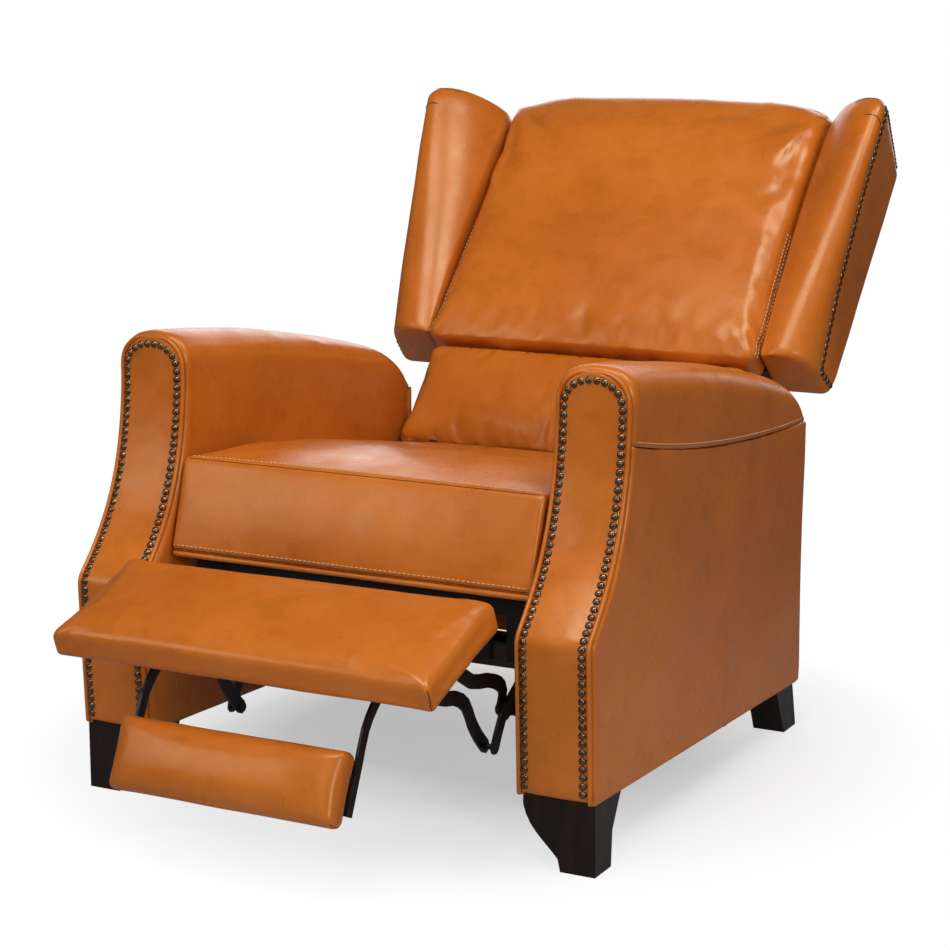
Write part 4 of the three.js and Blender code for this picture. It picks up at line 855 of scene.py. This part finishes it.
def seat_cushion():
    """Boxed seat cushion: a rolled box in the seat's frame. Its face climbs behind the front edge and
    is rolled down to the sides, the front leans back, and the box pulls in between its corners."""
    height = 100.0
    points, quads = rounded_box(SEAT_WIDTH, SEAT_DEPTH, height, 7.0, 8.0)
    x, u, w = points.T
    lift = clamped(w / height)
    across = clamped(1 - np.abs(2 * x / SEAT_WIDTH) ** 3)
    along = clamped(np.minimum(u / 60, (SEAT_DEPTH - u) / 50)) ** 0.6
    roll = roll_down(SEAT_WIDTH / 2 - np.abs(x), 26) * np.clip(u / 70, 0.12, 1)
    w = lift * seat_crest(u) + lift ** 3 * (6 * across * along - 0.7 * roll)
    w = w - 5.5 * (1 - lift) * clamped(1.6 - u / 40)
    x = x * (1 - 0.006 * np.sin(lift * math.pi) * clamped(1 - u / 120))
    bulge = 5.0 * clamped(1 - u / 60) * across * np.sin(lift * math.pi)
    u = u + SEAT_LEAN * lift * clamped(1 - u / SEAT_DEPTH) - bulge
    made = piece("seat_cushion_cover", from_seat(x, u, w), quads, "seat_carriage", COGNAC)

    def hold(p):
        y, z = seat_place(p)
        top_seam = near_line(np.hypot(y - SEAT_LEAN - 4, z - SEAT_FRONT_RISE), 16)
        low_seam = near_line(np.hypot(y, z), 14)
        sides = clamped((np.abs(p[:, 0]) - SEAT_WIDTH / 2 + 8) / 8)
        under = clamped(1 - z / 12) * (y > 20)
        return np.maximum.reduce([top_seam, low_seam, 0.8 * sides, under])
    sag(made, 7.0, hold)

    def folds(p):
        y, z = seat_place(p)
        front = clamped(1 - (y - 14) / 10) * np.sin(clamped(z / SEAT_FRONT_RISE) * math.pi)
        face = clamped((z - SEAT_FRONT_RISE) / 14)
        upright = 0.9 * clouds(p, 34, 61, (1, 1, 4.5)) + 0.9 * clouds(p, 120, 62)
        broad = 1.6 * clouds(p, 130, 63) + 0.5 * clouds(p, 45, 64, (1.6, 1, 1))
        return front * upright + face * broad
    relief(made, folds)
    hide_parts("seat_cushion")
    return made


def seat_stitches_and_seam_shades(cover):
    """Topstitching along the top and bottom seams across the front of the seat, and in the crease of each
    seam a dark cord of painted shade.
    """
    x = np.linspace(-SEAT_WIDTH / 2 + 9, SEAT_WIDTH / 2 - 9, 160)
    for name, u, w in (("seat_top", SEAT_LEAN + 8.5, SEAT_FRONT_RISE + 3.5), ("seat_bottom", 0.2, 2.5)):
        stitches(f"{name}_topstitch", *laid_on(cover, from_seat(x, u, w)), "seat_carriage")
    for name, u, w in (("seat_top", SEAT_LEAN + 2.2, SEAT_FRONT_RISE - 1.5), ("seat_bottom", 1.2, -2.6)):
        seam_shade_line(f"{name}_seam", *laid_on(cover, from_seat(x, u, w)), "seat_carriage")


seat_stitches_and_seam_shades(seat_cushion())


def seat_lip():
    """The leather band under the front of the cushion, rolled over the seat front rail."""
    points, quads = rounded_box(563.0, 64.0, 8.0, 3.8, 7.0)
    x, u, w = points.T
    w = w - 13.4 + 0.055 * np.clip(u - 30, 0, 40)
    made = piece("seat_lip", from_seat(x, u + 2, w), quads, "seat_carriage", COGNAC)
    relief(made, lambda p: 0.5 * clouds(p, 50, 65, (1.6, 1, 1)))
    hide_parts("seat_front_rail")


seat_lip()


# Back

def held_behind(seam_shade, share, width):
    """Where a back cushion is held: where it rests on the frame, and partly along its seams, whose
    distance is seam(height)."""
    def hold(p):
        n, t = back_place(p)
        return np.maximum(clamped((n - 285) / 14), share * near_line(seam_shade(t), width))
    return hold


def slanted(p, slope):
    """Points moved across by a share of their height."""
    return p + np.outer(p[:, 2], (slope, 0, 0))


def lumbar_cushion():
    """The lower back cushion: a rolled box whose face is crowned between its edges."""
    width, height, depth, foot = 563.0, 192.0, 57.0, 761.0
    points, quads = rounded_box(width, depth, height, 22.0, 7.0)
    x, n, t = points.T
    front = 1 - n / depth
    rise = clamped(t / height)
    across = clamped(1 - np.abs(x / (width / 2)) ** 2.4)
    x = x * (1 - 0.012 * np.sin(rise * math.pi))
    n = 258 + n - 17 * front * across * np.sin(rise * math.pi) ** 0.7
    made = piece("lumbar_cushion_cover", from_back(x, n, t + foot), quads, "back", COGNAC)
    sag(made, 7.0, held_behind(lambda t: np.minimum(t - foot, foot + height - t), 0.7, 7), 0.015)

    def folds(p):
        _, t_place = back_place(p)
        low = clamped(1 - (t_place - foot) / 80)
        pulls = 2.0 * clouds(slanted(p, 0.5), 30, 71, (1, 1, 3))
        return low * pulls + 2.2 * clouds(p, 120, 72) + 0.6 * clouds(p, 45, 73)
    relief(made, folds)
    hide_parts("lumbar_cushion")


def pillow_top(x):
    """Height of the pillow's top edge: flat in the middle, falling to the corners."""
    over = clamped((np.abs(x) - 165) / 127)
    return 1490 - 36 * over ** 2


PILLOW_FOOT, PILLOW_WIDTH = 955.5, 583.0


def head_pillow():
    """The upper back cushion: a deeply rolled box, crowned, a little wider at the top, whose top
    edge falls to its corners and whose sides pull in between them."""
    height, depth = 534.0, 74.0
    points, quads = rounded_box(PILLOW_WIDTH, depth, height, 20.0, 7.5)
    x, n, t = points.T
    rise = clamped(t / height)
    x = x * (0.992 + 0.008 * rise - 0.006 * np.sin(rise * math.pi))
    t = PILLOW_FOOT + t / height * (pillow_top(x) - PILLOW_FOOT)
    front = clamped(1 - n / depth)
    across = clamped(1 - np.abs(2 * x / PILLOW_WIDTH) ** 2.2)
    top_roll = clamped((rise - 0.88) / 0.12) ** 2
    n = 245 + n + front * (24 * top_roll - 15 * across * np.sin(rise * math.pi) ** 0.6)
    made = piece("head_pillow_cover", from_back(x, n, t), quads, "back", COGNAC)
    sag(made, 8.0, held_behind(lambda t: t - PILLOW_FOOT, 0.8, 8), 0.004)

    def folds(p):
        _, t_place = back_place(p)
        low = clamped(1 - (t_place - PILLOW_FOOT) / 120) ** 1.5
        pulls = 4.6 * clouds(slanted(p, -0.55), 26, 81, (1, 1, 3.2))
        side_near = clamped((np.abs(p[:, 0]) - 190) / 90) * clamped((t_place - 1230) / 60)
        sideways = 1.6 * clouds(p, 30, 82, (3, 1, 1)) * side_near
        return low * pulls + sideways + 2.4 * clouds(p, 170, 83) + 0.6 * clouds(p, 60, 84)
    relief(made, folds)
    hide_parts("head_pillow")
    return made


def pillow_stitches_and_seam_shades(cover):
    """On each side of the pillow a stitched band: a seam up the rolled edge between two rows of
    thread, and a short seam across each top corner, each drawn as a dark cord of painted shade in its crease."""
    t = np.linspace(PILLOW_FOOT + 12, 1205, 80)
    reach = np.linspace(0, 1, 24)
    for side_name, side in SIDES.items():
        for row, n in (("front", 256.0), ("rear", 266.0)):
            path = laid_on(cover, from_back(side * 291.0, n, t))
            stitches(f"pillow_{row}_topstitch_{side_name}", *path, "back")
        path = laid_on(cover, from_back(side * 292.0, 261.0, t))
        seam_shade_line(f"pillow_side_seam_{side_name}", *path, "back", 0.45)
        path = laid_on(cover, from_back(side * (291 - 16 * reach), 262 - 14 * reach, 1442 - 2 * reach))
        seam_shade_line(f"pillow_corner_seam_{side_name}", *path, "back")


lumbar_cushion()
pillow_stitches_and_seam_shades(head_pillow())


WING_FOOT, WING_TOP, WING_TOP_RISE = 971.9, 1423.9, 17.0
WING_FOOT_ROLL, WING_DOME_ROLL = 12.0, 38.0
WING_NOSE_ROLL, WING_NAIL_SETBACK = 40.0, 50.0


def wing_nose_n(level):
    """How far back the nose of a wing is: a line up from the foot, bowed forward between its ends."""
    return 267.0 - 126.0 * level - 40.0 * level * (1 - level)


def wing_corners(level, inset):
    """The front inner, nose and rear outer corner (x, n) of a wing's section, drawn in by an inset."""
    inner = np.array([293.2 + inset / 4, 249.0 + 12.0 * (2 * level - 1) ** 2])
    nose = np.array([373.0 + 46.0 * level - inset, wing_nose_n(level) + inset])
    return inner, nose, np.array([385.0 - inset, 364.1 + 11.6 * level - inset / 4])


def wing_top(n, nose, rear):
    return WING_TOP + WING_TOP_RISE * (n - nose[1]) / (rear[1] - nose[1])


def wing_face(level, inset, share):
    """Points (x, n, t) over a wing's inner face and round its nose: one cubic curve at each level."""
    inner, nose, rear = wing_corners(level, inset)
    face = nose - inner
    pull = (inner + nose) / 2 + 26.0 * unit(np.array([face[1], -face[0]]))
    behind = nose + WING_NOSE_ROLL * unit(rear - nose)
    s = np.asarray(share, float)[:, None]
    line = cubic(s, inner, pull, nose, behind)
    t = WING_FOOT + (wing_top(line[:, 1], nose, rear) - WING_FOOT) * level
    return joined(*line.T, t)


def wing_section(level, inset):
    """One closed section of a wing: up the pillow's side, over the swollen inner face and the nose,
    back along the flat outer face, round the rear corner and along the back."""
    inner, nose, rear = wing_corners(level, inset)
    over = wing_face(level, inset, np.linspace(0, 1, 44))[:, :2]
    side_line = joined(inner[0], np.linspace(rear[1], inner[1], 10)[:-1])
    radius = 9
    corner_n = rear[1] - radius
    outer = over[-1] + (np.array([rear[0], corner_n]) - over[-1]) * np.linspace(0, 1, 28)[1:, None]
    bend = np.linspace(0, math.pi / 2, 6)[1:, None]
    corner = np.array([rear[0] - radius, corner_n]) + radius * np.concatenate([np.cos(bend), np.sin(bend)], 1)
    back = joined(np.linspace(rear[0] - radius, inner[0], 10)[1:-1], rear[1])
    line = np.concatenate([side_line, over, outer, corner, back])
    t = WING_FOOT + (wing_top(line[:, 1], nose, rear) - WING_FOOT) * level
    return joined(*line.T, t)


def wing_end(turn, radius, top):
    """Level and inset of a section that rolls round an end of the wing, a quarter circle of turns."""
    level = radius * (1 - np.sin(turn)) / (WING_TOP - WING_FOOT)
    return (1 - level if top else level), radius * (1 - np.cos(turn))


def wing(side_name, side):
    """A wing: sections from foot to top, drawn in round both ends, and closed by shrinking rings."""
    span = WING_TOP - WING_FOOT
    foot = wing_end(np.linspace(math.pi / 2, 0, 7), WING_FOOT_ROLL, False)
    dome = wing_end(np.linspace(0, 1.54, 13), WING_DOME_ROLL, True)
    middle = np.linspace(WING_FOOT_ROLL, span - WING_DOME_ROLL, 56)[1:-1] / span
    levels = np.concatenate([foot[0], middle, dome[0]])
    insets = np.concatenate([foot[1], 0 * middle, dome[1]])
    grid = np.array([wing_section(level, inset) for level, inset in zip(levels, insets)])
    ends = []
    for ring, rise in ((grid[0], -1.0), (grid[-1], 4.0)):
        centre = ring.mean(0) + (0, 0, rise)
        ends.append([centre + (ring - centre) * share + (0, 0, rise * (share - share ** 2))
                     for share in (0.01, 0.35, 0.7, 0.9)])
    grid = np.array([*ends[0], *grid, *ends[1][::-1]])
    quads = faces_of(*grid.shape[:2], wrap=True)
    points = mirrored(from_back(*grid.reshape(-1, 3).T), side)
    made = piece(f"wing_cover_{side_name}", points, quads, "back", COGNAC)

    def folds(p):
        n, t = back_place(p)
        level = clamped((t - WING_FOOT) / span)
        nose = wing_nose_n(level)
        outside = (np.abs(p[:, 0]) > 379) & (n > nose + 20)
        border = np.minimum.reduce([n - nose - WING_NAIL_SETBACK, t - WING_FOOT - 13,
                                    WING_TOP - 14 - t + WING_TOP_RISE * (n - nose) / (370 - nose)])
        panel = clamped(border / 26)
        puff = 2.4 * panel * (2 - panel) - 1.3 * near_line(border, 4.5)
        return np.where(outside, puff, 0) + 0.8 * clouds(p, 130, 41) + 0.35 * clouds(p, 50, 42)
    relief(made, folds)
    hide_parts(f"wing_{side_name}")
    return made


def wing_seam_shades(cover, side_name, side):
    """Two seams on the domed top of a wing, drawn as dark cords of painted shade: an arc round the crest, and
    a dart over the nose below.
    """
    for name, turn, start, low, slope in (("crest", 0.85, 0.45, 0.0, 12.0), ("dart", 0.0, 0.60, 8.0, 10.0)):
        level, inset = wing_end(turn, WING_DOME_ROLL, True)
        run = np.linspace(start, 0.99, 40)
        path = wing_face(level, inset, run)
        path[:, 2] -= low + slope * ((run - start) / (1 - start)) ** 2
        path = mirrored(from_back(*path.T), side)
        seam_shade_line(f"wing_{name}_seam_{side_name}", *laid_on(cover, path), "back", 1.0)


def wing_nails(cover, side_name, side):
    """Nail heads round the outer face of a wing: up its front edge and along its top and bottom."""
    low, high = 0.026, 0.966

    def at(level, share):
        """Points on the outer face a share of the way from the front nails to the rear corner."""
        rows = []
        for one_level, one_share in zip(*np.broadcast_arrays(level, share)):
            _, nose, rear = wing_corners(float(one_level), 0.0)
            line = unit(rear - nose)
            first, last = nose + WING_NAIL_SETBACK * line, rear - 6 * line
            x, n = first + (last - first) * one_share
            rows.append((x, n, WING_FOOT + (wing_top(n, nose, rear) - WING_FOOT) * one_level))
        return np.array(rows)

    path = np.concatenate([at(low, np.linspace(1, 0, 20))[:-1], at(np.linspace(low, high, 80), 0.0),
                           at(high, np.linspace(0, 1, 20))[1:]])
    path = at_run(*evenly(path, NAIL_PITCH), path)
    points, normals = laid_on(cover, mirrored(from_back(*path.T), side))
    nail_heads(f"wing_nails_{side_name}", points, normals, "back")


for side_name, side in SIDES.items():
    cover = wing(side_name, side)
    wing_seam_shades(cover, side_name, side)
    wing_nails(cover, side_name, side)


def back_cover():
    """The leather on the back of the chair: drawn up the outside, over the top rail and down to the
    pillow, with rolled side edges."""
    radius, thickness = 14.0, 12.0
    low_t, high_t, rear_n, front_n, pillow_t = 778.0, 1447.0, 372.0, 319.0, 958
    up = np.linspace(low_t, high_t - radius, 70)
    bend = np.linspace(0, math.pi / 2, 8)[1:]
    over = np.linspace(rear_n - radius, front_n, 8)[1:]
    arc = joined(np.cos(bend), np.sin(bend))
    path = np.concatenate([joined(rear_n, up),
                           (rear_n - radius, high_t - radius) + radius * arc,
                           joined(over, high_t)])
    normal = np.concatenate([np.tile([1.0, 0.0], (len(up), 1)), arc, np.tile([0.0, 1.0], (len(over), 1))])
    width = np.where(path[:, 1] < pillow_t, 281.0, 292.0)[:, None]
    x = width * (spaced(2.0, 0.02, 0.035) - 1)
    drop = roll_down(width - np.abs(x), 7)

    def sheet(depth):
        n, t = np.moveaxis(path[:, None] - normal[:, None] * depth[..., None], -1, 0)
        return joined(x, n, t)

    points, quads = slab(sheet(drop), sheet(thickness + 0 * drop))
    made = piece("back_outer_cover", from_back(*points.T), quads, "back", COGNAC)
    relief(made, lambda p: 1.6 * clouds(p, 190, 51) + 0.6 * clouds(p, 60, 52))
    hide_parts("back_outer_panel")


back_cover()


# Footrest

def foot_cushion(name, node_name, body, size, radius, crown, puff, corner, slope):
    """A pad: a rolled box crowned across its face, its sides drawn in between its corners, and its
    back resting on the board."""
    width, depth, thickness = size
    points, quads = rounded_box(width, depth, thickness, radius, 6.0)
    x, v, h = points.T
    lift = clamped(h / thickness)
    side = np.abs(2 * x / width)
    across = clamped(1 - side ** 7)
    along = np.sin(clamped(v / depth) * math.pi)
    full = clamped(np.minimum(v / 34, (depth - v) / 12)) ** 0.5
    bow = np.sin(lift * math.pi) ** 0.8
    x = x * (1 - 0.010 * along * side ** 4)
    off_middle = v / depth - 0.5
    near_edge = clamped(np.abs(2 * v / depth - 1) * 4 - 3)
    v = v - 4.0 * off_middle * across + 2.0 * np.sign(off_middle) * bow * near_edge
    end_roll = clamped((side * width / 2 - width / 2 + 26) / 26) ** 2
    full_corner = puff * clamped(v / depth) * clamped(0.5 + x / width)
    face = crown * across * (0.35 * full + 0.65 * along ** 0.6) - 3.5 * end_roll + full_corner
    h = h - thickness + lift ** 2 * face
    made = piece(name, carried(x, v - depth + 2, h, slope, corner), quads, body, COGNAC)

    def hold(p):
        _, height = turned(p[:, 1] - corner[0], p[:, 2] - corner[1], -slope)
        return clamped(1 - (height + thickness) / 10)
    sag(made, 3.0, hold)
    relief(made, lambda p: 0.8 * clouds(p, 110, 91) + 0.3 * clouds(p, 32, 92))
    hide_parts(node_name)
    # A dark cord of painted shade in the corner seam at each end of the pad
    setback = 0.28 * radius
    rise = np.linspace(4 - thickness, 4 - 0.7 * radius, 20)
    for side_name, side in SIDES.items():
        path = laid_on(made, carried(side * (width / 2 - setback), setback - depth, rise, slope, corner))
        seam_shade_line(f"{name}_corner_seam_{side_name}", *path, body, 0.6)


foot_cushion("ottoman_cover", "ottoman_pad", "footrest", (569.0, 191.0, 41.0), radius=10.0, crown=10.0,
             puff=6.0, corner=OTTOMAN_CORNER, slope=OTTOMAN_SLOPE)
foot_cushion("flip_pad_cover", "flip_pad", "flip_footpad", (341.0, 95.0, 35.0), radius=11.0, crown=9.0,
             puff=0.0, corner=FLIP_CORNER, slope=FLIP_SLOPE)


# Frame nodes take their finishes

slot_of = {part["node"]: part["material_slot"] for part in frame["record"]["subparts"]}
for name, made in frame["nodes"].items():
    finish = NODE_FINISHES[slot_of[name]]
    made.data.materials.clear()
    made.data.materials.append(finish)


# Stage and light

def stage():
    """A pale floor that keeps the shadow near the chair and fades into a white surround. Glossy rays
    see it dimmer with distance, as the dark end of a studio would show in the leather."""
    made, tree, shader, place = new_material("pale floor")
    seen = node(tree, "ShaderNodeLightPath").outputs
    grey = between(tree, seen["Is Camera Ray"], 0.6, 0.85)
    grey = between(tree, seen["Is Glossy Ray"], grey, 0.16)
    feed(tree, shader, {"Base Color": grey, "Roughness": 0.9, "Specular IOR Level": 0.1})
    reach = node(tree, "ShaderNodeVectorMath", {0: place}, operation="LENGTH").outputs["Value"]
    gloss_view = maths(tree, "MULTIPLY", seen["Is Glossy Ray"], between(tree, reach, 0.16, 0.02, 0.7, 1.7))
    any_view = maths(tree, "MAXIMUM", seen["Is Camera Ray"], gloss_view)
    share = maths(tree, "MULTIPLY", between(tree, reach, 0.47, 1.0, 0.3, 0.72), any_view)
    glow = node(tree, "ShaderNodeEmission", {"Color": (1, 1, 1, 1), "Strength": 1.0}).outputs[0]
    blend = node(tree, "ShaderNodeMixShader", {0: share, 1: shader.outputs[0], 2: glow}).outputs[0]
    out = next(n for n in tree.nodes if n.type == "OUTPUT_MATERIAL")
    tree.links.new(blend, out.inputs["Surface"])
    side = 30.0
    mesh = bpy.data.meshes.new("floor")
    corners = [(-side, -side, 0), (side, -side, 0), (side, side, 0), (-side, side, 0)]
    mesh.from_pydata(corners, [], [(0, 1, 2, 3)])
    mesh.materials.append(made)
    floor = bpy.data.objects.new("floor", mesh)
    floor.location.z = -0.0005
    bpy.context.scene.collection.objects.link(floor)


def lamp(name, place, aim_height, width, height, power):
    """A soft lamp turned toward a point above the middle of the floor."""
    data = bpy.data.lights.new(name, "AREA")
    data.shape = "RECTANGLE"
    data.size, data.size_y = width, height
    data.energy = power
    made = bpy.data.objects.new(name, data)
    made.location = place
    made.rotation_euler = (Vector((0, 0, aim_height)) - Vector(place)).to_track_quat("-Z", "Y").to_euler()
    bpy.context.scene.collection.objects.link(made)


def light_room():
    """Plain soft studio light: two lamps above, weaker ones at the left, front and right, a broad one
    behind, and a surround that is white to the camera and dim to the chair."""
    lamp("top front lamp", (0.0, -1.6, 3.2), 0.4, 1.5, 1.5, 52.0)
    lamp("top right lamp", (1.4, -0.4, 3.0), 0.4, 1.1, 1.1, 36.0)
    lamp("left lamp", (-2.4, -3.2, 1.9), 0.4, 1.5, 1.5, 21.5)
    lamp("front lamp", (0.2, -4.2, 2.2), 0.5, 1.5, 1.5, 12.0)
    lamp("right lamp", (2.6, -2.4, 1.4), 0.5, 0.65, 0.65, 24.0)
    lamp("rear lamp", (-1.0, 3.4, 1.6), 0.5, 3.6, 2.0, 42.0)
    world = bpy.data.worlds.new("white surround")
    bpy.context.scene.world = world
    world.use_nodes = True
    tree = world.node_tree
    background = next(n for n in tree.nodes if n.type == "BACKGROUND")
    seen = node(tree, "ShaderNodeLightPath").outputs
    strength = between(tree, seen["Is Camera Ray"], 0.07, 1.0)
    feed(tree, background, {"Color": (1, 1, 1, 1), "Strength": strength})
    bpy.context.scene.view_settings.view_transform = "Standard"


stage()
light_room()

for made in list(bpy.data.objects):
    if "rides" in made:
        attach(made, made["rides"])
        del made["rides"]
